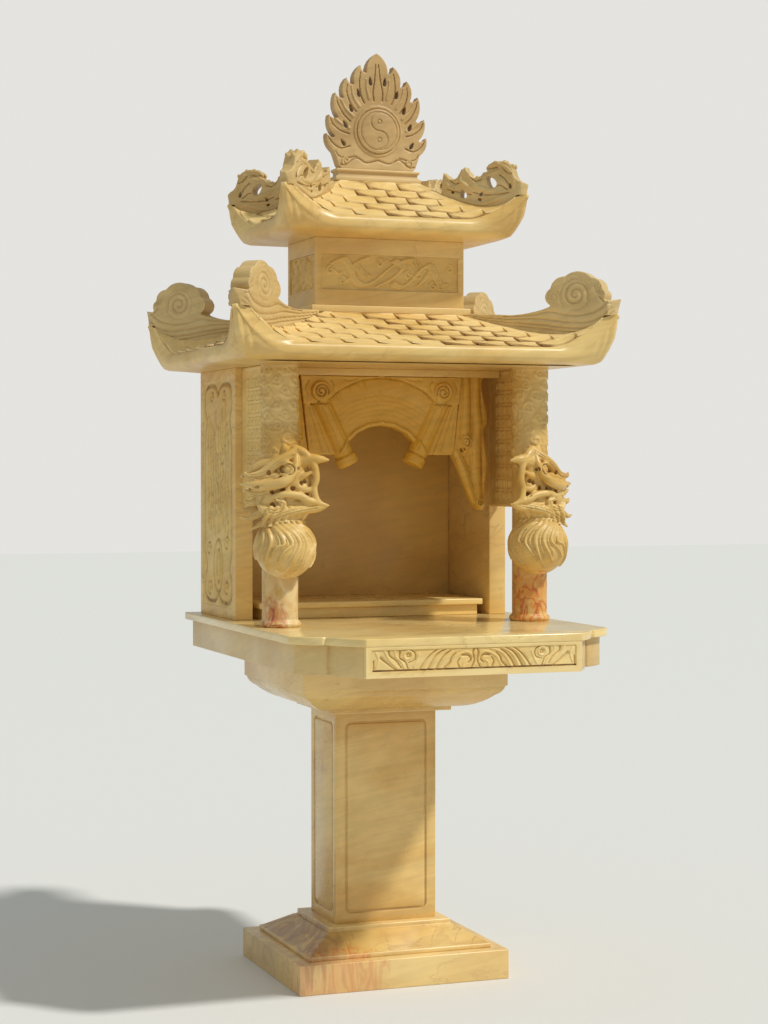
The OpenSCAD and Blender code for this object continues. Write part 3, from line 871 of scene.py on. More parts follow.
class Finishes:
    """All finishes of the part, built once."""

    def __init__(self) -> None:
        """Builds the shared groups and every material."""
        groups = {"marble": marble_group(), "stain_and_shade": stain_and_shade_group(), "hollow": hollow_group()}
        polish, carved = "polished_marble", "carved_marble"
        kinds = [
            Marble("base_marble", polish, 0.30, stains_and_shade=BASE_STAINS_AND_SHADE),
            Marble("pedestal_marble", polish, 0.26, shift=(0.7, 0.2, 0.4)),
            # Painted light: the slab is painted lighter than its stone for its sunlit top and the sky it
            # reflects.
            Marble("table_marble_painted_light", polish, 0.15, (0.91, 0.77, 0.47), (0.95, 0.85, 0.59),
                   shift=(1.7, 0.6, 0.1)),
            # Painted shade: a darker copy of the table stone for the shaded apron faces; it is also rougher.
            Marble("apron_marble_painted_shade", polish, 0.34, (0.80, 0.66, 0.41), (0.87, 0.75, 0.50),
                   shift=(1.7, 0.6, 0.1)),
            # Painted shade: a deeper, more saturated orange for the shaded niche and the light bounced
            # inside it.
            Marble("niche_marble_painted_shade", polish, 0.32, (0.85, 0.63, 0.20), (0.91, 0.73, 0.32),
                   shift=(0.3, 1.9, 0.8)),
            Marble("altar_marble", polish, 0.28, (0.95, 0.81, 0.46), (0.97, 0.87, 0.56),
                   shift=(0.3, 1.9, 0.8)),
            Marble("wall_marble", carved, 0.40, (0.88, 0.70, 0.36), (0.93, 0.79, 0.48), carved=0.8,
                   shift=(2.1, 0.4, 1.2)),
            Marble("banner_marble", carved, 0.45, (0.86, 0.66, 0.22), (0.90, 0.72, 0.32), carved=0.8,
                   veins=0.25, shift=(0.4, 1.3, 0.9)),
            # Painted light: a lighter copy of the relief marble, lifted for the sunlit frieze.
            Marble("frieze_marble_painted_light", carved, 0.42, (0.90, 0.75, 0.44), (0.95, 0.83, 0.56),
                   dust=(0.60, 0.43, 0.20), carved=0.8, veins=0.2, shift=(0.9, 2.3, 0.5)),
            Marble("relief_marble", carved, 0.50, (0.86, 0.70, 0.39), (0.92, 0.79, 0.49),
                   dust=(0.52, 0.37, 0.18), veins=0.2, shift=(0.9, 2.3, 0.5)),
            Marble("panel_marble", carved, 0.50, (0.86, 0.70, 0.39), (0.92, 0.79, 0.49),
                   dust=(0.40, 0.25, 0.10), veins=0.2, shift=(0.9, 2.3, 0.5)),
            Marble("column_marble", carved, 0.42, (0.82, 0.65, 0.32), (0.89, 0.76, 0.48), carved=0.8,
                   veins=0.3, shift=(1.3, 0.9, 2.2), stains_and_shade=COLUMN_STAINS),
            Marble("roof_marble", carved, 0.38, (0.86, 0.70, 0.40), veins=0.3, shift=(2.6, 1.1, 0.2)),
            # Painted light: a lighter copy of the roof marble for the sunlit tile tops.
            Marble("tile_marble_painted_light", carved, 0.40, (0.91, 0.76, 0.46), (0.96, 0.84, 0.57), veins=0.15,
                   shift=(2.6, 1.1, 0.2)),
            Marble("scroll_marble", carved, 0.45, (0.79, 0.66, 0.42), (0.87, 0.76, 0.53), carved=0.7,
                   veins=0.2, shift=(1.6, 0.1, 0.7)),
            Marble("crest_marble", carved, 0.50, (0.74, 0.60, 0.38), (0.83, 0.70, 0.48), veins=0.2,
                   shift=(0.2, 0.8, 1.6)),
        ]
        self.kinds = {k.name: k for k in kinds}
        self.materials = {k.name: k.build(groups) for k in kinds}

    def dress(self, piece: bpy.types.Object, name: str, *nodes: str, smooth: float = 60.0) -> None:
        """Gives a piece its finish and its place in the part.

        Args:
            piece: The piece.
            name: The finish's name.
            nodes: The nodes that it stands for.
            smooth: Largest angle in degrees that is shaded smooth.
        """
        piece.data.materials.clear()
        piece.data.materials.append(self.materials[name])
        piece.data.shade_smooth()
        piece.data.set_sharp_from_angle(angle=math.radians(smooth))
        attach(piece, "root")
        if nodes:
            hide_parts(*nodes)
        LOG.info("%s: %d faces", piece.name, len(piece.data.polygons))


# Plain stones


@dataclass
class PlainStones:
    """The cut blocks, each with its edges slightly eased."""

    frame: dict
    finishes: Finishes
    sharp_from: float = 28.0
    smooth_to: float = 40.0
    ease: float = 2.2
    foot_ease: float = 3.0
    shaft_ease: float = 1.6

    def eased(self, node: str, finish: str, ease: float) -> None:
        """Copies a node's mesh and eases its sharp edges.

        Args:
            node: The node that the new piece stands for.
            finish: Name of its finish.
            ease: Width of the eased edge in millimetres.
        """
        source = self.frame["nodes"][node]
        piece = bpy.data.objects.new(f"{node}_stone", source.data.copy())
        bpy.context.scene.collection.objects.link(piece)
        work = bmesh.new()
        work.from_mesh(piece.data)
        bmesh.ops.remove_doubles(work, verts=work.verts, dist=1e-5)
        bmesh.ops.dissolve_limit(work, angle_limit=math.radians(1.0), verts=work.verts, edges=work.edges)
        limit = math.radians(self.sharp_from)
        sharp = [e for e in work.edges if len(e.link_faces) == 2 and e.calc_face_angle(0) > limit]
        bmesh.ops.bevel(work, geom=sharp, offset=ease * MM, segments=2, profile=0.6, affect="EDGES",
                        clamp_overlap=True)
        bmesh.ops.triangulate(work, faces=[f for f in work.faces if len(f.verts) > 4])
        work.to_mesh(piece.data)
        work.free()
        self.finishes.dress(piece, finish, node, smooth=self.smooth_to)

    def keep(self, node: str, finish: str) -> None:
        """Leaves a node its own mesh, and gives it a finish.

        Args:
            node: The node.
            finish: Name of its finish.
        """
        mesh = self.frame["nodes"][node].data
        mesh.materials.clear()
        mesh.materials.append(self.finishes.materials[finish])

    def build(self) -> None:
        """Makes every plain stone."""
        stones = (
            ("base_marble", self.foot_ease, ("base_plinth", "base_moulding")),
            ("pedestal_marble", self.shaft_ease, ("pedestal_shaft", "pedestal_cap")),
            ("apron_marble_painted_shade", self.ease, ("table_apron",)),
            ("table_marble_painted_light", self.ease, ("table_slab",)),
            ("niche_marble_painted_shade", self.ease, ("back_wall", "lintel")),
            ("altar_marble", self.ease, ("altar_riser", "altar_board")),
            ("wall_marble", self.ease, ("left_wall", "right_wall")),
            ("roof_marble", self.ease, ("upper_ledge", "upper_body")),
            ("crest_marble", self.ease, ("ridge_block",)),
        )
        for finish, ease, nodes in stones:
            for node in nodes:
                self.eased(node, finish, ease)
        self.keep("front_frieze", "table_marble_painted_light")


# Roofs


def turned(points: np.ndarray, side: int) -> np.ndarray:
    """Turns points drawn for the front, x along it and y outward, to one side of a roof."""
    x, y, z = np.atleast_2d(points).T
    return np.array([(x, -y, z), (y, x, z), (-x, y, z), (-y, -x, z)][side]).T


@dataclass(frozen=True)
class Ring:
    """One ring of a roof, level along its sides and swept up at its corners; sizes in millimetres."""

    half_w: float
    half_d: float
    height: float
    lift: float
    flare: float
    sweep: float
    flat: float
    fold: float = 0.0

    def sizes(self, side: int) -> tuple[float, float]:
        """Gives half the length of a side, and its distance from the middle."""
        return (self.half_w, self.half_d) if side % 2 == 0 else (self.half_d, self.half_w)

    def limit(self, side: int) -> float:
        """Gives how far a side runs from its middle to the flat of its corner."""
        return self.sizes(side)[0] - self.flat / math.sqrt(2)


@dataclass
class UpsweptRoof:
    """A roof whose eaves sweep up to the corners, with tiles in staggered rows; sizes in millimetres."""

    name: str
    half_w: float
    half_d: float
    seat_w: float
    seat_d: float
    seat_z: float
    rise: float
    run: float
    lift: float
    flat: float
    top_flat: float
    tile_rows: int
    tile_w: float
    centre_y: float = -20.0
    sweep: float = 135.0
    flare: float = 20.0
    eave_flat: float = 12.0
    soffit_h: float = 12.0
    eave_h: float = 32.0
    hip_fall: float = 5.0
    top_strip: float = 10.0
    strand_gap: float = 5.5
    strands: int = 4
    slope_start: float = 10.0
    slope_rings: int = 18
    slope_sag: float = 1.15
    lift_fall: float = 2.2
    hip_points: int = 24
    sweep_points: int = 24
    middle_points: int = 6
    bed_sink: float = 3.0
    bed_reach: float = 13.0
    tile_edge: float = 15.0
    tile_lap: float = 5.0
    tile_gap: float = 1.5
    tile_least: float = 12.0
    tile_grid: tuple = (5, 7)
    tile_thick: float = 5.0
    tile_lip: float = 1.8
    tile_raise: float = 6.4
    tile_crown: float = 0.8
    tile_bow: float = 1.5
    strand_grid: tuple = (26, 6)

    def sweep_for(self, half_w: float, half_d: float, flat: float, left: float) -> float:
        """Gives how far from a corner a ring starts to rise, for its sizes and the share of slope left."""
        return min(self.sweep * (0.15 + 0.85 * left), 0.9 * (min(half_w, half_d) - flat / math.sqrt(2)))

    def slope_ring(self, inset: float) -> Ring:
        """Works out one ring of the slope.

        Args:
            inset: Its distance inward from the eaves.

        Returns:
            The ring.
        """
        share = (inset - self.slope_start) / (self.run - self.slope_start)
        left = 1 - inset / self.run
        eave_top = self.soffit_h + self.eave_h
        height = eave_top + (self.rise - eave_top) * (inset / self.run) ** self.slope_sag
        flat = np.interp(share, [0, 0.7, 0.87, 1], [self.flat, self.flat, self.top_flat, self.top_flat])
        half_w, half_d = self.half_w - inset, self.half_d - inset
        sweep = self.sweep_for(half_w, half_d, flat, left)
        return Ring(half_w, half_d, height, self.lift * left**self.hip_fall, self.flare * left, sweep, flat)

    def rings(self) -> list[Ring]:
        """Lists the rings from the seat round the eave band to the top of the slope.

        Returns:
            The rings.
        """
        lift, out = self.lift, self.flare
        band = (
            (60, 2, 0, -2, 0), (26, 5, 0, -5, 0), (14, 8, 0.03 * lift, -5, 0), (8, 12, 0.10 * lift, -4, 0.3),
            (6.5, 13.5, 0.35 * lift, 6, 0.8), (5, 15, 0.60 * lift, out - 6, 1.0),
            (4, 16, 0.88 * lift, out - 3, 0.8), (3, 17, 1.15 * lift, out - 1.5, 0.3),
            (1.5, 21, 1.13 * lift, out - 0.6, 0), (1, 29, 1.08 * lift, out, 0),
            (1.6, 37, 1.02 * lift, out, 0), (4.5, 42.5, lift, out, 0),
        )
        sweep = self.sweep_for(self.seat_w, self.seat_d, self.eave_flat, 1)
        rings = [Ring(self.seat_w, self.seat_d, 0, 0, 0, sweep, self.eave_flat)]
        for inset, height, rise, flare, fold in band:
            half_w, half_d = self.half_w - inset, self.half_d - inset
            rings.append(Ring(half_w, half_d, height, rise, flare, self.sweep, self.eave_flat, fold))
        slope = np.linspace(self.slope_start, self.run, self.slope_rings)
        return rings + [self.slope_ring(inset) for inset in slope]

    def ring_points(self, ring: Ring) -> np.ndarray:
        """Lists the points of one ring.

        Args:
            ring: The ring.

        Returns:
            The points, from the front left corner round to the left.
        """
        q = np.linspace(0, 1, self.sweep_points) ** 1.3
        fall = 1 - q
        fold = 4.0 * ring.fold * (np.exp(-(((q - 0.10) / 0.035) ** 2)) + np.exp(-(((q - 0.24) / 0.05) ** 2)))
        middle = self.middle_points
        out = ring.flare * fall**2
        z = ring.height + ring.lift * fall**self.lift_fall
        sides = []
        for side in range(4):
            _, across = ring.sizes(side)
            x = ring.limit(side) - q * ring.sweep + out
            y = across + out - fold
            flat = np.linspace(-x[-1], x[-1], middle + 2)[1:-1]
            line = np.vstack([
                np.c_[-x, y, z],
                np.c_[flat, np.full(middle, across), np.full(middle, ring.height)],
                np.c_[x, y, z][::-1],
            ])
            sides.append(turned(line, side))
        return np.vstack(sides)

    def placed(self, points: np.ndarray) -> np.ndarray:
        """Moves points from the roof's own place to the part's, in metres."""
        return (points + [0, self.centre_y, self.seat_z]) * MM

    def skin(self) -> bpy.types.Object:
        """Makes the closed body of the roof, with pleats under its corners.

        Returns:
            The body.
        """
        rings = self.rings()
        loops = [self.ring_points(r) for r in rings]
        n = len(loops[0])
        points = np.vstack(loops)
        faces = grid_faces(len(loops), n, True)
        low, high = len(points), len(points) + 1
        points = np.vstack([points, [[0, 0, 0], [0, 0, rings[-1].height]]])
        last = (len(loops) - 1) * n
        faces += [((k + 1) % n, k, low) for k in range(n)]
        faces += [(last + k, last + (k + 1) % n, high) for k in range(n)]
        obj = new_mesh_object(f"{self.name}_body", self.placed(points), faces)
        turn_outward(obj)
        return obj

    def slope_point(self, side: int, s: float, inset: float, up: float) -> np.ndarray:
        """Finds a point on or over the slope.

        Args:
            side: 0 front, 1 right, 2 back, 3 left.
            s: Distance along the side from its middle.
            inset: Distance inward from the eave.
            up: Height over the slope.

        Returns:
            The point in the roof's own place.
        """
        ring = self.slope_ring(inset)
        limit = ring.limit(side)
        s = max(-limit, min(limit, s))
        fall = 1 - max(0.0, min(1.0, (limit - abs(s)) / ring.sweep))
        out = ring.flare * fall**2
        x = s + math.copysign(out, s) if s else 0.0
        y = ring.sizes(side)[1] + out
        z = ring.height + ring.lift * fall**self.lift_fall + up
        return turned(np.array([x, y, z]), side)[0]

    def tiles(self) -> bpy.types.Object:
        """Makes all tiles of the four slopes and the strands of moulding beside the hips.

        Returns:
            The tiles as one piece.
        """
        clay = Clay()
        step = (self.run - self.top_strip - self.tile_edge) / self.tile_rows
        reach = self.tile_w / 2 - self.tile_gap
        for side in range(4):
            half = self.half_w if side % 2 == 0 else self.half_d
            for row in range(self.tile_rows):
                low = self.tile_edge + row * step
                high = self.tile_edge + (row + 1) * step + self.tile_lap
                limit = half - low - self.flat / math.sqrt(2) - self.strand_gap * (self.strands - 1)
                count = int(math.ceil(half / self.tile_w)) + 1
                for k in range(-count, count + 1):
                    middle = (k + 0.5 * (row % 2)) * self.tile_w
                    span = (max(middle - reach, -limit), min(middle + reach, limit))
                    if span[1] - span[0] > self.tile_least:
                        self.add_tile(clay, side, span, (low, high))
            for end in (-1, 1):
                for k in range(self.strands):
                    self.add_strand(clay, side, end, self.strand_gap * (k + 0.5))
        obj = new_mesh_object(f"{self.name}_tiles", self.placed(np.array(clay.points)), clay.faces)
        turn_outward(obj)
        return obj

    def add_tile(self, clay: Clay, side: int, span: tuple, rows: tuple) -> None:
        """Adds one closed tile, its lower left end raised clear of the slope.

        Args:
            clay: The tiles so far.
            side: The slope that it lies on.
            span: Its ends along the side.
            rows: Its lower and upper distance from the eave.
        """
        lines, columns = self.tile_grid
        points = []
        for layer in (1, 0):
            for v in np.linspace(0, 1, lines):
                for u in np.linspace(0, 1, columns):
                    lip = self.tile_lip + self.tile_raise * max(0.0, 1 - u / 0.7)
                    crown = 1 - (2 * u - 1) ** 2
                    bow = (self.tile_bow * (1 - u) - self.tile_bow * crown) * (1 - v) ** 2
                    inset = rows[0] + (rows[1] - rows[0]) * v + bow
                    top = lip * (1 - 0.85 * v) + self.tile_crown * crown - 0.6 * abs(2 * u - 1) ** 8
                    up = top if layer else max(-1.5, (lip - self.tile_thick) * (1 - 2 * v))
                    points.append(self.slope_point(side, span[0] + (span[1] - span[0]) * u, inset, up))
        size = columns * lines
        faces = grid_faces(lines, columns)
        faces += [tuple(size + i for i in f) for f in faces]
        rim = grid_rim(lines, columns)
        faces += [(a, b, size + b, size + a) for a, b in zip(rim, rim[1:] + rim[:1])]
        clay.add(np.array(points), faces)

    def add_strand(self, clay: Clay, side: int, end: int, off: float) -> None:
        """Adds one thin round strand that runs up the slope beside a hip.

        Args:
            clay: The tiles so far.
            side: The slope that it lies on.
            end: -1 at the slope's left hip, 1 at its right hip.
            off: Its distance from the level strip of the hip.
        """
        rows, sides = self.strand_grid
        radius = self.strand_gap * 0.5
        points = []
        for inset in np.linspace(9, self.run - 2, rows):
            limit = self.slope_ring(inset).limit(side)
            for k in range(sides):
                a = 2 * math.pi * k / sides
                s = end * (limit - off - radius * math.cos(a))
                points.append(self.slope_point(side, s, inset, radius * math.sin(a)))
        clay.add(np.array(points), closed_grid(rows, sides))

    def hip(self) -> np.ndarray:
        """Gives the line along the middle of a hip.

        Returns:
            Distance inward on the diagonal, and height, one point a row.
        """
        rings = [self.slope_ring(x) for x in np.linspace(self.slope_start, self.run, self.hip_points)]
        return np.array([
            ((self.half_w - r.half_w - r.flare) * math.sqrt(2) + r.flat / 2, r.height + r.lift)
            for r in rings
        ])

    def hip_bed(self, end: float) -> np.ndarray:
        """Gives the line on which a hip ornament rests, from over the tip inward.

        Args:
            end: Where the ornament ends, along the hip.

        Returns:
            The line's points in x and z.
        """
        hip = self.hip()
        tip = self.soffit_h + self.eave_h - self.bed_sink + self.lift
        over_tip = [[-self.bed_reach, tip], [hip[0][0], tip]]
        last = [[end, np.interp(end, *hip.T)]]
        return np.vstack([over_tip, hip[hip[:, 0] < end], last]) - [0, self.bed_sink]

    def corner_matrix(self, sx: int, sy: int) -> Matrix:
        """Gives the move that stands a flat piece on a corner's hip, its x running inward.

        Args:
            sx: -1 on the left, 1 on the right.
            sy: -1 in front, 1 behind.

        Returns:
            The move, in metres.
        """
        turn = math.atan2(-sy, -sx)
        corner = (sx * self.half_w * MM, (self.centre_y + sy * self.half_d) * MM, self.seat_z * MM)
        return Matrix.Translation(corner) @ Matrix.Rotation(turn, 4, "Z")


SIDES = ((-1, "left"), (1, "right"))
CORNERS = {"front_left": (-1, -1), "front_right": (1, -1), "back_left": (-1, 1), "back_right": (1, 1)}


def corner_taper(points: np.ndarray, flare: float, half: float) -> np.ndarray:
    """Narrows a hip ornament to a point over the corner, in line with the eaves.

    Args:
        points: Its corners in millimetres, x running inward along the hip.
        flare: How far the eaves reach out at the corner.
        half: Half of its thickness.

    Returns:
        The same corners, narrowed in y.
    """
    room = np.clip((points[:, 0] + flare * math.sqrt(2)) / half, 0.0, 1.0)
    points[:, 1] *= np.where(room < 1, np.maximum(room - 0.04, 0.02), 1.0)
    return points


def set_on_corners(model: bpy.types.Object, roof: UpsweptRoof, finishes: Finishes, kind: str,
                   node: str) -> None:
    """Copies a hip ornament to the four corners of a roof, and removes the model.

    Args:
        model: The ornament in its own place, x running inward along the hip.
        roof: The roof that carries it.
        finishes: The finishes.
        kind: Ending of the pieces' names.
        node: Ending of the names of the nodes that they stand for.
    """
    for corner, (sx, sy) in CORNERS.items():
        piece = bpy.data.objects.new(f"{corner}_{kind}", model.data.copy())
        bpy.context.scene.collection.objects.link(piece)
        moved(piece, roof.corner_matrix(sx, sy))
        finishes.dress(piece, "scroll_marble", f"{corner}_{node}")
    bpy.data.objects.remove(model)


@dataclass
class CloudScroll:
    """The cloud scroll on each lower hip: three lobes round a spiral, over a tall banded stem."""

    roof: UpsweptRoof
    thick: float = 58.0
    eye: tuple = (94.0, 192.0)
    end: float = 398.0
    lobes: tuple = ((90, 201, 54), (156, 188, 24), (26, 188, 18), (48, 206, 30), (130, 206, 36))
    stem: tuple = ((169, 161), (190, 154), (214, 149), (240, 145), (262, 143), (290, 143), (311, 145),
                   (355, 147), (398, 150))
    taper: float = 0.26
    taper_from: float = 170.0
    taper_run: float = 85.0
    cell: float = 2.6
    keep: float = 0.5

    def outline(self) -> list:
        """Lists the flat outlines that make up the scroll.

        Returns:
            The outlines, one an array of points in x and z.
        """
        stem = smooth_curve(self.stem, 3)
        leaf = [self.eye, (26, 188), (6, 172), (-27, 178), (-16, 152)]
        body = np.vstack([self.roof.hip_bed(self.end), stem[::-1], leaf])
        circle = np.linspace(0, 2 * math.pi, 48, endpoint=False)
        return [body] + [np.c_[x + r * np.cos(circle), z + r * np.sin(circle)] for x, z, r in self.lobes]

    def strokes(self) -> list:
        """Lists what is carved into both faces.

        Returns:
            The strokes.
        """
        x, z = self.eye
        cut = [
            Stroke(spiral((x, z), 37, 5, -1.9, 200), 3.6, -3.0),
            Stroke(spiral((x, z), 44, 41, 0.9, -40), 2.2, -2.0),
            Stroke(smooth_curve([(26, 184), (8, 166), (-10, 166)]), 2.2, -3.0, 0.8),
        ]
        rounds = ((156, 188, 17, -100, 0.75), (156, 188, 9, -90, 0.8), (100, 226, 22, 0, 0.5),
                  (100, 226, 13, 0, 0.5))
        for lx, lz, r, start, turn in rounds:
            cut.append(Stroke(spiral((lx, lz), r, r, turn, start), 2.0, -2.0))
        for k in range(6):
            angle = math.radians(75 + 21 * k)
            ends = [(34 + r * math.cos(angle), 190 + r * math.sin(angle)) for r in (6, 26)]
            cut.append(Stroke(np.array(ends), 1.4, -2.6))
        bands = (
            ((4, 168), (34, 146), (78, 136), (120, 138), (168, 148), (214, 141), (300, 139)),
            ((-6, 154), (24, 128), (66, 117), (126, 120), (196, 130), (290, 132), (388, 142)),
            ((-10, 145), (20, 116), (60, 102), (120, 104), (190, 114), (290, 124), (388, 136)),
            ((2, 122), (30, 101), (66, 88), (120, 94), (190, 104), (290, 116), (388, 130)),
        )
        return cut + [Stroke(smooth_curve(line), 3.6, -3.0, 1.6) for line in bands]

    def build(self, finishes: Finishes) -> None:
        """Makes the four scrolls.

        Args:
            finishes: The finishes.
        """
        clay = Clay()
        half = self.thick / 2
        for loop in self.outline():
            clay.plate(loop, -half, half)
        model = clay.mesh("scroll_model")
        fused(model, self.cell)
        carve_faces(model, self.strokes())
        points, _ = corners(model)
        points[:, 1] *= 1 - self.taper * np.clip((points[:, 2] - self.taper_from) / self.taper_run, 0, 1)
        set_corners(model, corner_taper(points, self.roof.flare, half))
        thinned(model, self.keep)
        set_on_corners(model, self.roof, finishes, "cloud_scroll", "scroll")


@dataclass
class RoofDragon:
    """The dragon on each upper hip: an open-mouthed head with a mane of flames, over a waved body."""

    roof: UpsweptRoof
    thick: float = 44.0
    end: float = 228.0
    back: tuple = ((228, 150), (226, 170), (222, 192), (208, 176), (194, 170), (182, 176), (172, 192),
                   (158, 204), (154, 194), (150, 184), (138, 174), (126, 172), (116, 174), (104, 184),
                   (94, 188), (84, 196), (92, 205), (76, 213), (60, 215), (46, 213), (32, 208), (24, 200),
                   (17, 186), (14, 172), (4, 160), (-20, 149), (-15, 134))
    holes: tuple = ((82, 160, 22, 40, 40), (26, 146, 9, 20, 10), (112, 122, 14, 26, -20),
                    (164, 130, 18, 28, 20), (196, 140, 9, 16, 30))
    curls: tuple = ((20, 202), (44, 214), (70, 213), (92, 200), (104, 184), (124, 176), (150, 188),
                    (166, 196), (196, 172), (214, 182))
    body_inset: float = 5.0
    cell: float = 2.0
    keep: float = 0.6

    def clay(self) -> Clay:
        """Gathers the dragon's forms; x runs inward along the hip and z up.

        Returns:
            The forms.
        """
        c = Clay()
        half = self.thick / 2 - self.body_inset
        body = np.vstack([self.roof.hip_bed(self.end), self.back])
        c.plate(body, -half, half, tuple(drop(*h) for h in self.holes))
        for y in (-1, 1):
            c.tube([(14, 12 * y, 140), (18, 13 * y, 168), (34, 13 * y, 192), (58, 12 * y, 204)],
                   [6, 7, 8, 7])
            c.tube([(56, 13 * y, 206), (74, 13 * y, 206), (88, 10 * y, 203)], [7, 6, 4])
            c.tube([(58, 13 * y, 190), (78, 14 * y, 184), (96, 11 * y, 185)], [6, 6, 3])
            c.ball((62, 17 * y, 209), (5, 5, 5))
            c.tube([(56, 11 * y, 138), (96, 14 * y, 138), (126, 14 * y, 152), (146, 11 * y, 182)],
                   [6, 8, 7, 4])
            c.tube([(128, 12 * y, 142), (158, 14 * y, 154), (172, 13 * y, 172), (160, 10 * y, 196)],
                   [5, 8, 7, 3])
            c.tube([(176, 11 * y, 142), (202, 13 * y, 150), (216, 12 * y, 166), (220, 8 * y, 186)],
                   [5, 7, 6, 3])
            c.tube([(20, 12 * y, 122), (60, 14 * y, 112), (110, 14 * y, 100), (170, 13 * y, 116),
                    (222, 10 * y, 138)],
                   [5, 7, 7, 6, 4])
            c.tube([(24, 13 * y, 136), (56, 15 * y, 128), (92, 15 * y, 118), (140, 14 * y, 124)],
                   [3, 5, 5, 3])
            for x, z in self.curls:
                c.ball((x, (13 if (x // 2) % 2 else 9) * y, z - 3), (6, 6, 7))
        return c

    def strokes(self) -> list:
        """Lists what is cut into both faces.

        Returns:
            The strokes.
        """
        lines = (
            ((30, 150), (44, 168), (58, 178)), ((34, 136), (52, 148), (66, 150)),
            ((22, 178), (36, 184), (50, 198)), ((64, 198), (80, 196), (94, 196)),
            ((110, 168), (128, 164), (144, 176)), ((176, 162), (188, 160), (204, 170)),
            ((30, 128), (70, 124), (104, 126), (134, 134)), ((140, 128), (176, 136), (212, 146)),
        )
        return [Stroke(smooth_curve(line), 2.4, -4.0, 1.2) for line in lines]

    def build(self, finishes: Finishes) -> None:
        """Makes the four dragons.

        Args:
            finishes: The finishes.
        """
        model = self.clay().mesh("roof_dragon_model")
        fused(model, self.cell, 1)
        carve_faces(model, self.strokes())
        points, _ = corners(model)
        set_corners(model, corner_taper(points, self.roof.flare, self.thick / 2))
        thinned(model, self.keep)
        set_on_corners(model, self.roof, finishes, "hip_dragon", "roof_dragon")


# Niche front


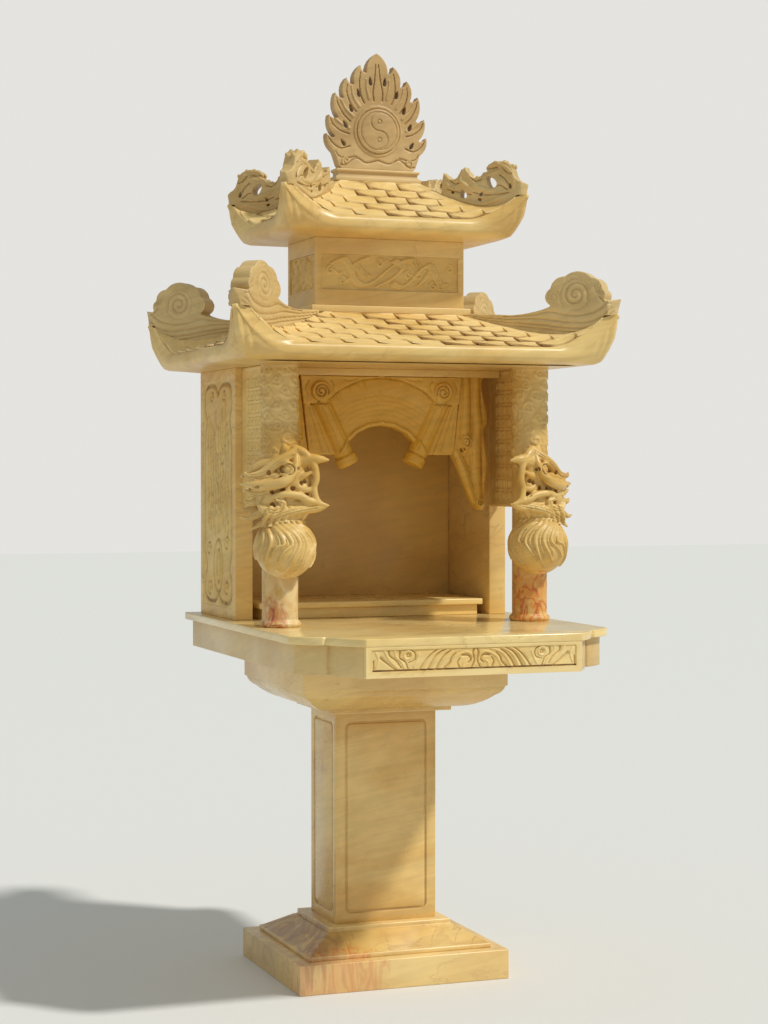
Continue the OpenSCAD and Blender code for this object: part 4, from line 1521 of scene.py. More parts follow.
@dataclass
class NicheFront:
    """The carved door head, its hanging brackets and the boards beside the columns."""

    finishes: Finishes
    top_z: float = 1645.0
    front_y: float = -80.0
    thick: float = 40.0
    arch: tuple = (-261.0, 125.0)
    field: tuple = (-230.0, 228.0)
    roll_top: tuple = (176.0, -70.0)
    roll_foot: tuple = (105.0, -218.0)
    roll_r: float = 28.0
    eye: tuple = (179.0, -43.0)
    cell: float = 2.3
    keep: float = 0.5
    board_cell: float = 3.2
    board_keep: float = 0.6
    key_pitch: float = 34.0
    key_depth: float = 3.2

    def head_clay(self) -> Clay:
        """Gathers the forms of the unrolled banner and its two rolls.

        Returns:
            The forms, with x from the middle and z from the top of the niche.
        """
        c = Clay()
        arch_z, arch_r = self.arch
        half = np.array([(236, 0), (226, -90), (217, -165), (212, -210), (206, -216), (140, -216)])
        arch = spiral((0, arch_z), arch_r, arch_r, 0.382, 21.2)
        c.plate(np.vstack([half, arch, flipped(half)[::-1]]), 9, self.thick)
        field_z, field_r = self.field
        corner = np.vstack([[(236, 0), (228, -76), (168, -76)],
                            spiral((0, field_z), field_r, field_r, 0.125, 43)])
        band = np.array([(226, -80), (217, -165), (212, -210), (206, -216), (150, -216), (206, -80)], float)
        middle = self.thick / 2
        long = math.dist(self.roll_top, self.roll_foot)
        knob = np.array([(0, 22), (0.5, 28), (3, 31), (24, 31), (28, 28), (29, 18)])
        for s in (-1, 1):
            c.plate(corner * [s, 1], 2, self.thick)
            c.plate(band * [s, 1], 3, self.thick)
            top, foot = [(s * p[0], middle, p[1]) for p in (self.roll_top, self.roll_foot)]
            c.lathe(top, foot, [(0, 27), (long - 7, self.roll_r), (long - 4, 24.5), (long + 2, 24.5)])
            c.lathe(foot, tuple(2 * np.array(foot) - top), knob)
            eye = (s * self.eye[0], middle, self.eye[1])
            c.lathe(eye, (eye[0], 0, eye[2]), [(0, 27), (25, 27), (27.5, 24), (28, 12)])
        return c

    def head_strokes(self) -> list:
        """Lists what is carved into the banner.

        Returns:
            The strokes.
        """
        arch_z, arch_r = self.arch
        field_z, field_r = self.field
        strokes = [
            Stroke(spiral((0, arch_z), arch_r + 7, arch_r + 7, 0.375, 22.5), 6.0, 5.0, section=Section.FLAT),
            Stroke(spiral((0, field_z), field_r - 2, field_r - 2, 0.27, 41), 2.6, -3.0),
        ]
        strokes += [Stroke(spiral((0, arch_z), r, r, 0.25, 45), 0.9, -0.9) for r in range(146, 216, 13)]
        way = np.subtract(self.roll_foot, self.roll_top) / math.dist(self.roll_foot, self.roll_top)
        aside = np.array([-way[1], way[0]])
        right = [Stroke(spiral(self.eye, 21, 5, -1.8, 200), 2.6, -4.5)]
        for off in (-11.0, 10.0):
            ends = [self.roll_top + way * 12 + aside * off, self.roll_foot - way * 10 + aside * off]
            right.append(Stroke(np.array(ends), 1.6, -2.2))
        hems = (
            (((152, -76), (208, -78)), 2.6, -4.5), (((214, -84), (176, -206)), 1.6, -2.4),
            (((221, -90), (204, -206)), 1.2, -1.6),
        )
        right += [Stroke(np.array(line), wide, deep) for line, wide, deep in hems]
        curls = (
            ((212, -14), (222, -34), (214, -58)), ((150, -12), (142, -24), (146, -44)),
            ((112, -10), (92, -12), (70, -7)),
        )
        right += [Stroke(smooth_curve(line), 2.0, -2.8, 0.8) for line in curls]
        return strokes + right + [s.flip() for s in right]

    def placed(self, piece: bpy.types.Object) -> bpy.types.Object:
        """Moves a flat piece to the plane of the door head."""
        return moved(piece, Matrix.Translation((0, self.front_y * MM, self.top_z * MM)))

    def head(self) -> None:
        """Makes the door head."""
        piece = self.head_clay().mesh("door_banner")
        fused(piece, self.cell, 1)
        carve_faces(piece, self.head_strokes(), back=False)
        self.finishes.dress(self.placed(thinned(piece, self.keep)), "banner_marble", "door_head")

    def bracket(self, side: int, node: str) -> None:
        """Makes one hanging bracket, a leaf of draped cloth.

        Args:
            side: -1 on the left, 1 on the right.
            node: The node that it stands for.
        """
        c = Clay()
        edge = [(212, -210), (231, -251), (247, -289), (264, -331), (279, -359), (304, -368), (309, -326),
                (311, -289), (317, -241), (301, -166), (315, -115), (298, -31), (302, 0)]
        outline = np.vstack([[(238, 0), (228, -90), (219, -165)], smooth_curve(edge, 4)])
        c.plate(outline * [side, 1], 9, self.thick)
        folds = (
            ([(252, 14, -4), (250, 12, -80), (246, 10, -150), (250, 9, -196)], [12, 15, 17, 12]),
            ([(282, 14, -4), (280, 12, -80), (284, 9, -140), (276, 8, -200), (280, 9, -270),
              (288, 12, -336)],
             [13, 14, 15, 18, 15, 10]),
            ([(224, 14, -206), (240, 11, -250), (258, 11, -300), (276, 13, -346)], [9, 14, 13, 8]),
            ([(306, 14, -100), (296, 11, -160), (306, 11, -236), (303, 12, -300)], [7, 9, 10, 7]),
        )
        for line, radii in folds:
            c.tube([(side * x, y, z) for x, y, z in line], radii, 14)
        c.lathe((side * 292, 30, -349), (side * 292, 0, -349), [(0, 14), (30, 14), (33, 10)], 24)
        piece = c.mesh(node.replace("_", "_leaf_"))
        fused(piece, self.cell, 1)
        lines = (
            ((264, -10), (264, -80), (262, -150)), ((296, -20), (296, -90), (290, -150), (292, -200)),
            ((240, -20), (238, -90), (230, -160)), ((266, -206), (268, -260), (282, -330)),
            ((296, -200), (297, -260), (300, -330)), ((230, -212), (250, -262), (268, -318)),
        )
        strokes = [Stroke(smooth_curve(line), 1.7, -2.8, 0.9) for line in lines]
        strokes.append(Stroke(spiral((248, -182), 19, 4, -1.5, 150), 4.2, 6.0, 2.5))
        strokes.append(Stroke(spiral((241, -201), 2, 2, 1, 0), 4.5, -14))
        strokes.append(Stroke(spiral((292, -349), 9, 2, 1.4, 0), 2.0, -4))
        carve_faces(piece, strokes if side > 0 else [s.flip() for s in strokes], back=False)
        self.finishes.dress(self.placed(thinned(piece, self.keep)), "banner_marble", node)

    def board(self, node: str) -> None:
        """Makes one fret-carved board between column and wall.

        Args:
            node: The node that it stands for.
        """
        low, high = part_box(node)
        wide, depth, tall = (np.array(high) - np.array(low)) / MM
        c = Clay()
        c.plate(np.array([[0, 0], [depth, 0], [depth, tall], [0, tall]]), -wide / 2, wide / 2)
        piece = c.mesh(node.replace("_spandrel", "_fret_board"))
        fused(piece, self.board_cell, 0)
        frame = np.array([[5, 5], [depth - 5, 5], [depth - 5, tall - 5], [5, tall - 5], [5, 5]])
        key = np.array([[0, 0], [26, 0], [26, 24], [7, 24], [7, 9], [18, 9], [18, 17]])
        strokes = [Stroke(frame, 4.0, self.key_depth, section=Section.FLAT)]
        for row in range(int((tall - 20) / self.key_pitch)):
            for k in range(int((depth - 20) / self.key_pitch)):
                place = [12 + k * self.key_pitch, 14 + row * self.key_pitch]
                strokes.append(Stroke(key + place, 2.6, self.key_depth, section=Section.FLAT))
        carve_faces(piece, strokes)
        co, no = corners(piece)
        co[:, 1] -= np.sign(no[:, 1]) * self.key_depth * facing_share(no)
        set_corners(piece, co)
        middle = (low + high) / 2
        matrix = Matrix.Translation((middle.x, low.y, low.z)) @ Matrix.Rotation(math.pi / 2, 4, "Z")
        self.finishes.dress(moved(thinned(piece, self.board_keep), matrix), "relief_marble", node)

    def build(self) -> None:
        """Makes the whole front."""
        self.head()
        for side, word in SIDES:
            self.bracket(side, f"{word}_bracket")
            self.board(f"{word}_spandrel")


# Columns and their dragons


@dataclass
class DragonColumn:
    """A round column carved with clouds, and the dragon that winds out of it."""

    side: int
    word: str
    finishes: Finishes
    x: float = 356.0
    y: float = -270.0
    foot_z: float = 978.0
    height: float = 687.0
    radius: float = 50.0
    dragon_z: float = 1108.0
    chest: tuple = (2.0, -50.0, 75.0)
    chest_r: float = 78.0
    cell: float = 2.3
    keep: float = 0.6
    carving: float = 2.5
    collar_h: float = 17.0
    collar_out: float = 8.5
    band_h: float = 8.0
    shaft_grid: tuple = (232, 110)
    shaft_keep: float = 0.7

    def clouds(self) -> list:
        """Lists the cloud curls carved round the shaft, in distance round it and height.

        Returns:
            The strokes.
        """
        rng = np.random.default_rng(11 + self.side)
        girth = 2 * math.pi * self.radius
        strokes = []
        for r, z in enumerate(range(462, 676, 30)):
            for k in range(6):
                x = girth * (k + 0.5 * (r % 2)) / 6 + rng.uniform(-7, 7)
                turn = 1 if (k + r) % 2 else -1
                size = rng.uniform(10, 15)
                curl = spiral((x, z + rng.uniform(-5, 5)), size, 3, 1.15 * turn, rng.uniform(0, 360))
                knots = [(x - 13 * turn, z - 6), (x + 6, z - 14), (x + 30 * turn, z - 9),
                         (x + 40 * turn, z + 2)]
                tail = smooth_curve(knots)
                for shift in (-girth, 0, girth):
                    strokes.append(Stroke(curl + [shift, 0], 3.6, 3.0, 2.0))
                    strokes.append(Stroke(tail + [shift, 0], 4.4, 2.8, 1.0))
        return strokes

    def shaft(self) -> None:
        """Makes the column itself."""
        rows, sides = self.shaft_grid
        levels = np.r_[0, np.linspace(1.5, self.height - 1.5, rows - 2), self.height]
        turns = np.linspace(0, 2 * math.pi, sides, endpoint=False)
        z, a = (grid.ravel() for grid in np.meshgrid(levels, turns, indexing="ij"))
        height = relief_height(np.c_[a * self.radius, z], self.clouds())
        inside = np.clip((z - 16) / 4, 0, 1) * np.clip((self.height - 6 - z) / 3, 0, 1)
        collar = self.collar_out * np.clip(1 - np.abs(z - 8) / 9, 0, 1) ** 0.4
        r = self.radius - self.carving + np.where(z < self.collar_h, collar, height * inside)
        r = np.where(z > self.height - self.band_h, self.radius, r)
        points = np.c_[r * np.cos(a), r * np.sin(a), z]
        place = [self.side * self.x, self.y, self.foot_z]
        name = f"{self.word}_cloud_column"
        piece = new_mesh_object(name, (points + place) * MM, closed_grid(rows, sides, True))
        turn_outward(piece)
        note_depth(piece, (height - 2.0) * inside)
        thinned(piece, self.shaft_keep)
        self.finishes.dress(piece, "column_marble", f"{self.word}_column", smooth=70)

    def dragon_clay(self) -> Clay:
        """Gathers the dragon's forms; x runs outward from the shrine, y backward, z up.

        Returns:
            The forms, round a place on the column.
        """
        c = Clay()
        c.ball(self.chest, (self.chest_r, self.chest_r, self.chest_r))
        c.tube([(2, -46, 96), (0, -44, 141), (-4, -41, 176), (-6, -38, 236), (0, -24, 286), (0, -6, 322)],
               [62, 49, 47, 44, 42, 38], 28)
        for line, radii in self.head_forms() + self.beard() + self.front_mane() + self.back_mane():
            c.tube(line, radii, 12)
        balls = (
            ((-20, -58, 268), (38, 34, 52)), ((-32, -64, 246), (36, 27, 58)), ((40, -46, 212), (40, 30, 40)),
            ((6, -84, 281), (10, 9, 10)), ((-84, -98, 309), (8, 7, 7)), ((-50, -46, 279), (8, 8, 8)),
        )
        for place, radii in balls:
            c.ball(place, radii)
        return c

    @staticmethod
    def head_forms() -> list:
        """Lists the snout, jaws, lips, brows, tongue and the strand that hugs the face from brow to jaw.

        Returns:
            The line of each form, with the radius at each of its points.
        """
        return [
            ([(-28, -66, 300), (-52, -84, 306), (-74, -96, 307), (-98, -100, 305)], [26, 17, 12, 4]),
            ([(-20, -66, 334), (-40, -82, 322), (-62, -94, 292), (-68, -97, 258), (-62, -95, 232),
              (-68, -99, 202), (-86, -102, 189)], [12, 12, 10, 9, 9, 9, 5]),
            ([(-18, -80, 316), (-14, -90, 290), (0, -94, 264), (26, -90, 246), (70, -60, 238),
              (113, -18, 243)],
             [9, 11, 12, 14, 14, 3]),
            ([(58, -58, 203), (34, -80, 214), (8, -91, 217), (-24, -95, 212), (-48, -99, 200),
              (-92, -104, 189)],
             [4, 8, 9, 10, 10, 4]),
            ([(-4, -64, 190), (-46, -86, 182), (-76, -96, 182), (-99, -102, 188)], [22, 16, 11, 3]),
            ([(-26, -84, 232), (-46, -92, 228), (-62, -96, 236)], [10, 8, 4]),
            ([(-24, -84, 262), (-40, -92, 266), (-58, -96, 276)], [9, 7, 4]),
            ([(26, -72, 296), (6, -88, 297), (-8, -90, 286)], [5, 7, 4]),
            ([(22, -78, 268), (8, -92, 265), (-6, -94, 274)], [4, 6, 4]),
            ([(-20, -66, 310), (-2, -50, 330), (4, -44, 346)], [18, 14, 6]),
            ([(-20, -34, 196), (-40, -44, 176), (-60, -52, 168)], [20, 14, 5]),
            ([(-66, -64, 290), (-44, -46, 296), (-20, -30, 286)], [6, 9, 6]),
        ]

    @staticmethod
    def beard() -> list:
        """Lists the locks of the beard.

        Returns:
            The line of each lock, with the radius at each of its points.
        """
        beard = []
        for x in range(-52, 62, 17):
            out = abs(x)
            line = [(x, -91 + 0.16 * out, 180), (x + 12, -90 + 0.2 * out, 160),
                    (x + 21, -86 + 0.25 * out, 138 - 0.1 * x)]
            beard.append((line, [8, 7, 2]))
        return beard

    @staticmethod
    def front_mane() -> list:
        """Lists the locks of the mane that are seen from the front.

        Returns:
            The line of each lock, with the radius at each of its points.
        """
        return [
            ([(-22, -72, 328), (8, -72, 310), (36, -62, 292), (66, -44, 268), (96, -30, 264),
              (104, -26, 274)],
             [12, 14, 14, 12, 7, 2]),
            ([(30, -66, 262), (52, -54, 256), (76, -42, 252), (92, -34, 262)], [12, 11, 8, 2.5]),
            ([(64, -54, 214), (72, -56, 194), (58, -68, 174), (30, -80, 174), (18, -86, 194),
              (34, -84, 202)],
             [8, 10, 11, 11, 9, 5]),
            ([(54, -50, 222), (82, -38, 218), (104, -26, 226)], [14, 10, 2.5]),
            ([(70, -44, 198), (94, -34, 194), (106, -26, 202)], [11, 8, 2.5]),
            ([(28, -66, 184), (66, -48, 168), (96, -34, 154), (115, -24, 157)], [15, 13, 7, 2.5]),
            ([(-66, -96, 184), (-20, -92, 176), (14, -86, 167), (48, -70, 152), (92, -44, 126)],
             [8, 12, 12, 11, 3]),
        ]

    @staticmethod
    def back_mane() -> list:
        """Lists the locks of the mane behind the head.

        Returns:
            The line of each lock, with the radius at each of its points.
        """
        return [
            ([(16, -24, 300), (58, -4, 286), (102, 8, 262)], [24, 18, 4]),
            ([(20, -24, 246), (60, -8, 232), (98, 4, 226)], [26, 20, 4]),
            ([(20, -24, 196), (60, -10, 180), (100, 2, 176)], [26, 18, 4]),
        ]

    @staticmethod
    def flutes() -> list:
        """Lists the swaying flutes of the throat, in degrees round it and height.

        Returns:
            The strokes.
        """
        rng = np.random.default_rng(3)
        flutes = []
        for a in range(-132, 136, 19):
            sway, end = rng.uniform(8, 20), rng.uniform(14, 60)
            a += rng.uniform(-4, 4)
            knots = [(a + 34, 156), (a + 20, 138), (a - 0.4 * sway, 116), (a - sway, 90), (a - 2, end + 26),
                     (a + 0.7 * sway, end)]
            flutes.append(Stroke(smooth_curve(knots), rng.uniform(6.0, 8.5), rng.uniform(4.6, 6.0), 0.8))
            flutes.append(Stroke(smooth_curve([(k[0] + 9, k[1]) for k in knots[1:5]]), 2.6, 3.0, 0.6))
        return flutes

    def mane_cuts(self) -> list:
        """Lists the drilled holes, the ring of the eye and the grooves along the locks, in x and z.

        Returns:
            The strokes.
        """
        holes = ((-40, 250), (-30, 246), (-20, 282), (-8, 232), (44, 224), (42, 190), (50, 272), (-46, 214),
                 (84, 234), (18, 230))
        cuts = [Stroke(spiral(hole, 1.5, 1.5, 1, 0), 4.6, -11.0) for hole in holes]
        cuts.append(Stroke(spiral((6, 281), 13, 13, 1, 0), 2.6, -5.0))
        for line, _ in self.front_mane():
            for lift in (-3.0, 4.0):
                cuts.append(Stroke(smooth_curve([(p[0], p[2] + lift) for p in line]), 1.5, -2.4, 0.8))
        return cuts

    def dragon(self) -> None:
        """Makes the dragon, its throat fluted and its mane cut."""
        piece = self.dragon_clay().mesh(f"{self.word}_column_dragon")
        fused(piece, self.cell, 1)
        co, no = corners(piece)
        x, y, _ = self.chest
        around = np.c_[np.degrees(np.arctan2(co[:, 0] - x, y - co[:, 1])), co[:, 2]]
        on_chest = np.abs(np.linalg.norm(co - self.chest, axis=1) - self.chest_r) < 9
        throat = (co[:, 2] < 150) & on_chest
        belly = relief_height(around, self.flutes()) * throat
        co += no * belly[:, None]
        facing = np.clip((-no[:, 1] - 0.3) / 0.4, 0, 1) * (co[:, 2] > 132)
        mane = relief_height(co[:, [0, 2]], self.mane_cuts()) * facing
        co += no * mane[:, None]
        set_corners(piece, co)
        note_depth(piece, np.where(throat, 0.35 * (belly - 4.0) * (belly > 0.3), mane))
        flip = Matrix.Diagonal((self.side, 1, 1, 1))
        place = Matrix.Translation((self.side * self.x * MM, self.y * MM, self.dragon_z * MM))
        moved(thinned(piece, self.keep), place @ flip)
        self.finishes.dress(piece, "column_marble", f"{self.word}_dragon", smooth=70)

    def build(self) -> None:
        """Makes the column and its dragon."""
        self.shaft()
        self.dragon()


# Relief panels


@dataclass
class ReliefPanel:
    """A thin carved slab let into a recess; sizes in millimetres, the place being the recess's floor."""

    name: str
    draw: Callable
    size: tuple
    place: tuple
    turn: float = 0.0
    depth: float = 6.0
    cell: float = 2.4
    finish: str = "relief_marble"
    sunk: float = 0.3
    margin: float = 0.6
    least: float = 0.4
    keep: float = 0.7

    def slab(self) -> bpy.types.Object:
        """Makes the slab in x and z round its middle, with its face towards -y.

        Returns:
            The slab.
        """
        width, height = (s - self.margin for s in self.size)
        nx, nz = int(width / self.cell) + 1, int(height / self.cell) + 1
        x = np.linspace(-width / 2, width / 2, nx)
        z = np.linspace(-height / 2, height / 2, nz)
        zz, xx = np.meshgrid(z, x, indexing="ij")
        flat = np.c_[xx.ravel(), zz.ravel()]
        raised = relief_height(flat, self.draw(*self.size))
        front = np.c_[flat[:, 0], -self.least - raised, flat[:, 1]]
        back = np.c_[flat[:, 0], np.zeros(len(flat)), flat[:, 1]]
        rim = grid_rim(nz, nx)
        n, m = nx * nz, len(rim)
        faces = grid_faces(nz, nx)
        faces += [(rim[i], rim[(i + 1) % m], n + (i + 1) % m, n + i) for i in range(m)]
        faces += [(n + i, n + (i + 1) % m, n + m) for i in range(m)]
        piece = new_mesh_object(self.name, np.vstack([front, back[rim], [[0, 0, 0]]]) * MM, faces)
        turn_outward(piece)
        # Painted shade with dust: sunk counts the panel's ground as cut, so the finish darkens it.
        note_depth(piece, np.r_[raised - self.sunk * self.depth, np.zeros(m + 1)])
        return piece

    def build(self, finishes: Finishes) -> None:
        """Makes the panel and stands it in its recess.

        Args:
            finishes: The finishes.
        """
        spot = Matrix.Translation([p * MM for p in self.place])
        piece = moved(thinned(self.slab(), self.keep),
                      spot @ Matrix.Rotation(math.radians(self.turn), 4, "Z"))
        finishes.dress(piece, self.finish)


def acanthus(width: float, height: float) -> list:
    """Draws a scrolling leaf frieze, symmetrical about its middle.

    Args:
        width: Width of the field.
        height: Height of the field.

    Returns:
        The strokes.
    """
    scale = [width / 544, height / 52]
    ground = Stroke(np.array([[-width / 2, 0], [width / 2, 0]]), 38, 4.4, section=Section.FLAT)
    ridges = (
        ((115, -26), (106, -8), (92, 9), (72, 20)), ((94, -25), (84, -8), (72, 6), (58, 14), (40, 19)),
        ((70, -24), (62, -12), (54, 0), (38, 9), (22, 12), (8, 2)),
        ((136, -25), (127, -10), (112, 8), (92, 21)), ((240, 20), (232, 4), (218, -12), (204, -24)),
        ((213, 22), (211, 6), (196, -8), (188, -24)), ((262, 16), (256, 0), (262, -20)),
        ((164, -20), (156, -6), (150, 10)), ((34, -24), (32, -14), (26, -10)),
    )
    cuts = (
        (((268, -5), (268, -26)), 2.5), (((249, 3), (236, -8), (216, -23), (206, -28)), 4.2),
        (((229, 23), (226, 8), (209, -5), (196, -23)), 2.6),
        (((199, 20), (200, 2), (186, -8), (178, -26)), 2.8),
        (((196, 24), (176, 23), (160, 12), (162, -4), (178, -10)), 2.4),
        (((126, -27), (116, -9), (100, 10), (80, 20)), 2.8),
        (((105, -27), (96, -11), (83, 5), (66, 17)), 2.8), (((82, -25), (70, -14), (64, 0), (54, 9)), 3.2),
        (((35, 5), (20, 4), (13, -6), (21, -15)), 4.4), (((3, 25), (7, 10), (4, -8), (12, -27)), 2.8),
        (((44, -24), (48, -12), (42, -2)), 2.6), (((148, -27), (138, -12), (122, 6), (103, 20)), 2.2),
    )
    half = [Stroke(smooth_curve(np.array(line) * scale), 5.4, 6.2, 3.0) for line in ridges]
    half += [Stroke(smooth_curve(np.array(line) * scale), wide, -4.4, 1.0) for line, wide in cuts]
    half.append(Stroke(spiral((178 * scale[0], 8 * scale[1]), 12, 9, 0.95, -60), 4.6, 6.4, 3.5))
    half.append(Stroke(spiral((178 * scale[0], 8 * scale[1]), 5, 3, 1.2, 30), 1.8, -3.6))
    return [ground] + half + [s.flip() for s in half]


def ribbon_cloud(width: float, height: float) -> list:
    """Draws two broad ribbons of cloud that cross in the middle of a wide panel.

    Args:
        width: Width of the field.
        height: Height of the field.

    Returns:
        The strokes.
    """
    w, h = width / 2 - 8, height / 2 - 7
    ribbons = (
        ((-0.86, 0.62), (-0.70, 0.86), (-0.60, 0.30), (-0.54, -0.50), (-0.40, -0.86), (-0.22, -0.50),
         (-0.04, 0.20), (0.14, 0.74), (0.32, 0.90), (0.44, 0.50)),
        ((-0.36, 0.90), (-0.52, 0.60), (-0.46, 0.10), (-0.34, -0.30)),
        ((0.06, 0.86), (0.20, 0.50), (0.10, -0.10), (-0.06, -0.60), (-0.20, -0.90)),
        ((0.04, -0.70), (0.18, -0.90), (0.34, -0.40), (0.48, 0.30), (0.60, 0.60), (0.68, 0.10),
         (0.76, -0.60), (0.86, -0.74)),
        ((0.44, -0.74), (0.54, -0.30), (0.58, 0.10)),
    )
    curls = (
        (-0.90, 0.10, 1), (-0.72, -0.60, -1), (0.92, 0.40, -1), (0.28, -0.10, 1), (-0.16, 0.66, -1),
        (0.66, -0.80, 1),
    )
    strokes = []
    for ribbon in ribbons:
        band = smooth_curve(np.array(ribbon) * [w, h], 6)
        for off in (-6.5, 0.0, 6.5):
            strokes.append(Stroke(band + [off * 0.8, off * 0.55], 3.9, 5.6, 2.8))
    for x, z, turn in curls:
        strokes.append(Stroke(spiral((x * w, z * h), 11, 3, 1.2 * turn, 90), 3.6, 4.4, 2.4))
        tail = [(x * w + 10, z * h), (x * w + 22, z * h - 8 * turn), (x * w + 34, z * h - 2 * turn)]
        strokes.append(Stroke(smooth_curve(tail), 3.8, 4.0, 0.8))
    return [s for s in strokes if np.abs(s.line[:, 0]).max() < width / 2 - 2]


def bamboo(width: float, height: float) -> list:
    """Draws a clump of upright stems with leaves inside a cusped frame.

    Args:
        width: Width of the field.
        height: Height of the field.

    Returns:
        The strokes.
    """
    rng = np.random.default_rng(5)
    w, h = width / 2, height / 2
    strokes = [Stroke(np.array([[0, -h], [0, h]]), w * 1.7, 4.0, section=Section.FLAT)]
    for x in np.arange(-96, 97, 24):
        z = -0.36 * h + rng.uniform(0, 40)
        while z < 0.62 * h:
            long = rng.uniform(36, 78)
            line = [(x + rng.uniform(-5, 5), z + share * long) for share in (0, 0.5, 1)]
            strokes.append(Stroke(smooth_curve(line, 3), rng.uniform(6, 8.5), -4.2, 3.0))
            turn = 1 if rng.uniform() < 0.5 else -1
            leaf = np.array([line[2], (line[2][0] + turn * 15, line[2][1] - rng.uniform(14, 26))])
            strokes.append(Stroke(leaf, 5.0, -4.2, 2.0))
            z += long + rng.uniform(7, 14)
    turns = np.linspace(0, 2 * math.pi, 20)
    for x, wide, tall in ((0, 44, 74), (4, 18, 46)):
        strokes.append(Stroke(np.c_[x + wide * np.cos(turns), -0.64 * h + tall * np.sin(turns)], 6.5, -4.2))
    strokes.append(Stroke(np.array([(2, -0.78 * h), (4, -0.5 * h)]), 9, 5.6, leaf=True))
    curls = (
        (-92, -0.5, 22), (86, -0.44, 24), (-84, -0.86, 26), (84, -0.84, 24), (-60, 0.86, 18), (58, 0.86, 18),
    )
    for x, z, r in curls:
        strokes.append(Stroke(spiral((x, z * h), r, r * 0.3, 1.2, 10), 5.0, -4.2, 3.0))
    cusp = smooth_curve([(-w + 13, h - 150), (-w + 30, h - 108), (-w + 12, h - 72), (-w + 16, h - 30),
                         (-w + 46, h - 12), (-32, h - 14), (0, h - 38)], 6)
    top = np.vstack([cusp, flipped(cusp)[::-1]])
    side = np.array([[w - 13, h - 150], [w - 13, -h + 150]])
    frame = [top, top * [1, -1], side, flipped(side)]
    return strokes + [Stroke(f, 8.0, -4.2) for f in frame]


def relief_panels(finishes: Finishes) -> None:
    """Makes the carved panels of the frieze, the side walls and the upper body.

    Args:
        finishes: The finishes.
    """
    panels = [
        ReliefPanel("frieze_acanthus", acanthus, (544, 52), (0, -738, 928), depth=7.0, cell=1.6,
                    finish="frieze_marble_painted_light", sunk=0.45),
    ]
    for side, word in SIDES:
        panels += [
            ReliefPanel(f"{word}_wall_bamboo", bamboo, (290, 627), (side * 394, 170, 1321.5), 90 * side,
                        cell=2.6, finish="panel_marble", sunk=0.55),
            ReliefPanel(f"{word}_upper_cloud", ribbon_cloud, (208, 95), (side * 209, -20, 1921.5),
                        90 * side),
        ]
    panels += [
        ReliefPanel("front_upper_cloud", ribbon_cloud, (396, 95), (0, -135, 1921.5)),
        ReliefPanel("back_upper_cloud", ribbon_cloud, (396, 95), (0, 95, 1921.5), 180),
    ]
    for panel in panels:
        panel.build(finishes)


# Crest


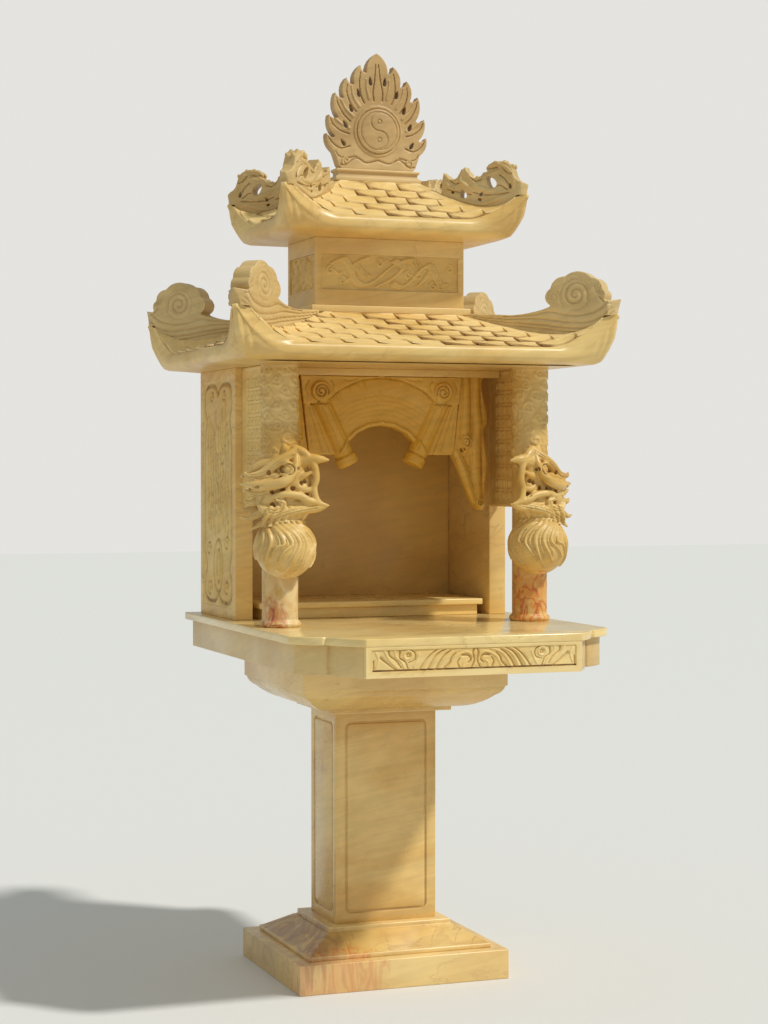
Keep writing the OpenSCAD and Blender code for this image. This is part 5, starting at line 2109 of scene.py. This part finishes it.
@dataclass
class FlameCrest:
    """The pierced flame with its disc; sizes in millimetres."""

    finishes: Finishes
    foot_z: float = 2214.0
    centre_y: float = -20.0
    thick: float = 46.0
    disc_z: float = 106.0
    disc_r: float = 60.0
    disc_bulge: float = 14.0
    disc_grid: tuple = (34, 96)
    edge_thin: float = 0.42
    cell: float = 1.7
    keep: float = 0.5

    def outline(self) -> np.ndarray:
        """Gives the outline of the flame's tongues.

        Returns:
            Its points in x and z.
        """
        foot = [(104, 0), (113, 10), (120, 30), (126, 46)]
        tips = [(147, 98), (140, 148), (121, 209), (88, 251), (47, 288), (0, 322)]
        valleys = [(121, 86), (113, 140), (96, 193), (67, 231), (31, 265)]
        right = [np.array(foot, float), bulge(foot[-1], tips[0], 9)]
        for tip, valley, following in zip(tips, valleys, tips[1:]):
            right += [bulge(tip, valley, -6)[1:], bulge(valley, following, 10)[1:]]
        half = np.vstack(right)
        half = half[np.r_[True, np.abs(np.diff(half, axis=0)).sum(1) > 0.01]]
        return np.vstack([half, flipped(half[:-1])[::-1]])

    def holes(self) -> list:
        """Lists the teardrop piercings.

        Returns:
            The outlines, one an array of points in x and z.
        """
        places = (
            (21, 243, 10, 26, 6), (56, 210, 10, 26, 14), (78, 168, 10, 26, 18), (95, 122, 10, 24, 26),
            (101, 72, 10, 24, 34),
        )
        loops = [drop(*place) for place in places]
        return loops + [flipped(loop) for loop in loops]

    def strokes(self) -> list:
        """Lists what is carved into both faces.

        Returns:
            The strokes.
        """
        grooves = (
            ((12, 190), (14, 214), (8, 250), (4, 292)), ((40, 182), (50, 206), (52, 240), (48, 268)),
            ((64, 158), (78, 178), (88, 206), (88, 232)), ((80, 130), (98, 148), (114, 176), (118, 194)),
            ((84, 96), (108, 104), (128, 120), (136, 138)), ((82, 62), (108, 56), (130, 70), (142, 88)),
        )
        ridges = (
            ((26, 196), (32, 222), (34, 250)), ((54, 172), (70, 198), (76, 228)),
            ((72, 144), (92, 164), (106, 190)), ((84, 112), (106, 124), (126, 140)),
        )
        right = [
            Stroke(spiral((0, self.disc_z), 67, 67, 0.5, -90), 4.0, 3.0),
            Stroke(spiral((92, 22), 12, 3, 1.1, -60), 2.6, 3.0),
            Stroke(smooth_curve([(64, 34), (92, 30), (112, 34), (122, 48)]), 2.6, -3.4, 0.8),
            Stroke(smooth_curve([(0, 26), (34, 18), (62, 30), (92, 12), (108, 12)]), 2.6, -3.2),
        ]
        right += [Stroke(smooth_curve(line), 2.6, -4.0, 0.8) for line in grooves]
        right += [Stroke(smooth_curve(line), 4.5, 3.0, 1.0) for line in ridges]
        return right + [s.flip() for s in right]

    def build(self) -> None:
        """Makes the flame and its two discs."""
        clay = Clay()
        half = self.thick / 2
        clay.plate(self.outline(), -half, half, tuple(self.holes()))
        flame = clay.mesh("flame_crest")
        fused(flame, self.cell, 1)
        co, _ = corners(flame)
        reach = np.hypot(co[:, 0] / 150, np.maximum(co[:, 2] - 90, 0) / 234)
        co[:, 1] *= 1 - self.edge_thin * np.clip((reach - 0.45) / 0.55, 0, 1)
        set_corners(flame, co)
        carve_faces(flame, self.strokes())
        place = Matrix.Translation((0, self.centre_y * MM, self.foot_z * MM))
        self.finishes.dress(moved(thinned(flame, self.keep), place), "crest_marble", "flame")
        self.disc(-1, "front_disc")
        self.disc(1, "back_disc")

    def disc(self, side: int, node: str) -> None:
        """Makes one domed disc with its two turning drops.

        Args:
            side: -1 in front, 1 behind.
            node: The node that it stands for.
        """
        rings, sides = self.disc_grid
        r = np.linspace(0, 1, rings)[1:] * self.disc_r
        a = np.linspace(0, 2 * math.pi, sides, endpoint=False)
        rr, aa = np.meshgrid(r, a, indexing="ij")
        flat = np.c_[(rr * np.cos(aa)).ravel(), (rr * np.sin(aa)).ravel()]
        dome = self.disc_bulge * np.sqrt(np.clip(1 - (rr.ravel() / (self.disc_r * 1.12)) ** 2, 0, 1))
        curve = np.vstack([spiral((0, 25), 25, 25, 0.5, 90), spiral((0, -25), 25, 25, -0.5, 90)])
        strokes = [Stroke(curve, 2.4, -2.6)]
        for z, radius in ((25, 6), (-25, 6), (0, 53)):
            strokes.append(Stroke(spiral((0, z), radius, radius, 1, 0), 1.8, -2.2))
        height = relief_height(flat, strokes)
        top = self.disc_bulge + relief_height(np.zeros((1, 2)), strokes)[0]
        front = np.c_[flat[:, 0], side * (dome + height), flat[:, 1]]
        rim = np.c_[flat[-sides:, 0], np.zeros(sides), flat[-sides:, 1]]
        points = np.vstack([[[0, side * top, 0]], front, rim])
        faces = [(0, 1 + k, 1 + (k + 1) % sides) for k in range(sides)]
        faces += [tuple(1 + i for i in f) for f in grid_faces(rings, sides, True)]
        faces.append(tuple(1 + (rings - 1) * sides + k for k in range(sides)))
        place = np.array([0, self.centre_y + side * self.thick / 2, self.foot_z + self.disc_z])
        piece = new_mesh_object(f"{node}_dome", (points + place) * MM, faces)
        turn_outward(piece)
        note_depth(piece, np.r_[0, height, np.zeros(sides)])
        self.finishes.dress(piece, "crest_marble", node)


# Stage


@dataclass
class Studio:
    """Floor, light and camera."""

    eye: tuple = (-2.051, -5.635, 1.386)
    aim: tuple = (0.0, -0.09, 1.272)
    lens: float = 50.5
    sensor: float = 24.0
    sun_way: tuple = (-0.72, 0.64, -1.12)
    sun_strength: float = 2.45
    sun_colour: tuple = (1.0, 0.985, 0.94)
    sun_spread: float = 4.0
    sky_colour: tuple = (0.95, 0.97, 0.96)
    sky_strength: float = 0.46
    backdrop: tuple = (0.895, 0.892, 0.88)
    paper: tuple = (0.88, 0.88, 0.87)
    floor_half: float = 30.0

    def floor(self) -> None:
        """Makes the pale floor."""
        edge = self.floor_half
        square = np.array([[-edge, -edge, 0], [edge, -edge, 0], [edge, edge, 0], [-edge, edge, 0]])
        obj = new_mesh_object("studio_floor", square, [(0, 1, 2, 3)])
        material = bpy.data.materials.new("floor_paper")
        material.use_nodes = True
        shader = material.node_tree.nodes["Principled BSDF"]
        shader.inputs["Base Color"].default_value = linear(*self.paper)
        shader.inputs["Roughness"].default_value = 0.9
        obj.data.materials.append(material)

    def sky(self) -> None:
        """Sets the soft surrounding light and the pale backdrop that the camera sees."""
        world = bpy.data.worlds.new("studio_world")
        bpy.context.scene.world = world
        world.use_nodes = True
        tree = world.node_tree
        tree.nodes.clear()
        n = Nodes(tree)
        seen = n.add("ShaderNodeLightPath").outputs["Is Camera Ray"]
        soft = n.add("ShaderNodeBackground", Color=linear(*self.sky_colour), Strength=self.sky_strength)
        plain = n.add("ShaderNodeBackground", Color=linear(*self.backdrop), Strength=1.0)
        mix = n.add("ShaderNodeMixShader", i0=seen, i1=soft.outputs[0], i2=plain.outputs[0])
        out = n.add("ShaderNodeOutputWorld")
        tree.links.new(mix.outputs[0], out.inputs[0])

    def sun(self) -> None:
        """Adds the sun, a soft far lamp."""
        light = bpy.data.lights.new("key", "SUN")
        light.energy = self.sun_strength
        light.color = self.sun_colour
        light.angle = math.radians(self.sun_spread)
        obj = bpy.data.objects.new("key", light)
        obj.rotation_euler = Vector(self.sun_way).to_track_quat("-Z", "Y").to_euler()
        bpy.context.scene.collection.objects.link(obj)

    def camera(self) -> None:
        """Sets the camera where the view was taken from, aimed at the part."""
        data = bpy.data.cameras.new("view")
        data.sensor_fit = "VERTICAL"
        data.sensor_height = self.sensor
        data.lens = self.lens
        obj = bpy.data.objects.new("view", data)
        obj.location = self.eye
        obj.rotation_euler = (Vector(self.aim) - Vector(self.eye)).to_track_quat("-Z", "Y").to_euler()
        bpy.context.scene.collection.objects.link(obj)
        bpy.context.scene.camera = obj

    def build(self) -> None:
        """Sets the whole stage."""
        self.floor()
        self.sky()
        self.sun()
        self.camera()
        bpy.context.scene.view_settings.view_transform = "Standard"


def roofs(finishes: Finishes) -> None:
    """Makes both roofs with their tiles and corner ornaments.

    Args:
        finishes: The finishes.
    """
    lower = UpsweptRoof("lower_roof", half_w=519, half_d=420, seat_w=412, seat_d=373, seat_z=1665, rise=146,
                        run=285, lift=96, flat=58, top_flat=58, tile_rows=6, tile_w=92)
    upper = UpsweptRoof("upper_roof", half_w=334, half_d=240, seat_w=223, seat_d=129, seat_z=2013, rise=167,
                        run=208, lift=82, flat=44, top_flat=20, tile_rows=5, tile_w=91)
    for roof in (lower, upper):
        finishes.dress(roof.skin(), "roof_marble", roof.name, smooth=50)
        finishes.dress(roof.tiles(), "tile_marble_painted_light", smooth=35)
    CloudScroll(lower).build(finishes)
    RoofDragon(upper).build(finishes)


def main() -> None:
    """Builds the part's looks in order."""
    logging.basicConfig(level=logging.INFO, format="%(message)s")
    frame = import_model()
    finishes = Finishes()
    PlainStones(frame, finishes).build()
    roofs(finishes)
    NicheFront(finishes).build()
    for side, word in SIDES:
        DragonColumn(side, word, finishes).build()
    relief_panels(finishes)
    FlameCrest(finishes).build()
    Studio().build()


if __name__ == "__main__":
    main()
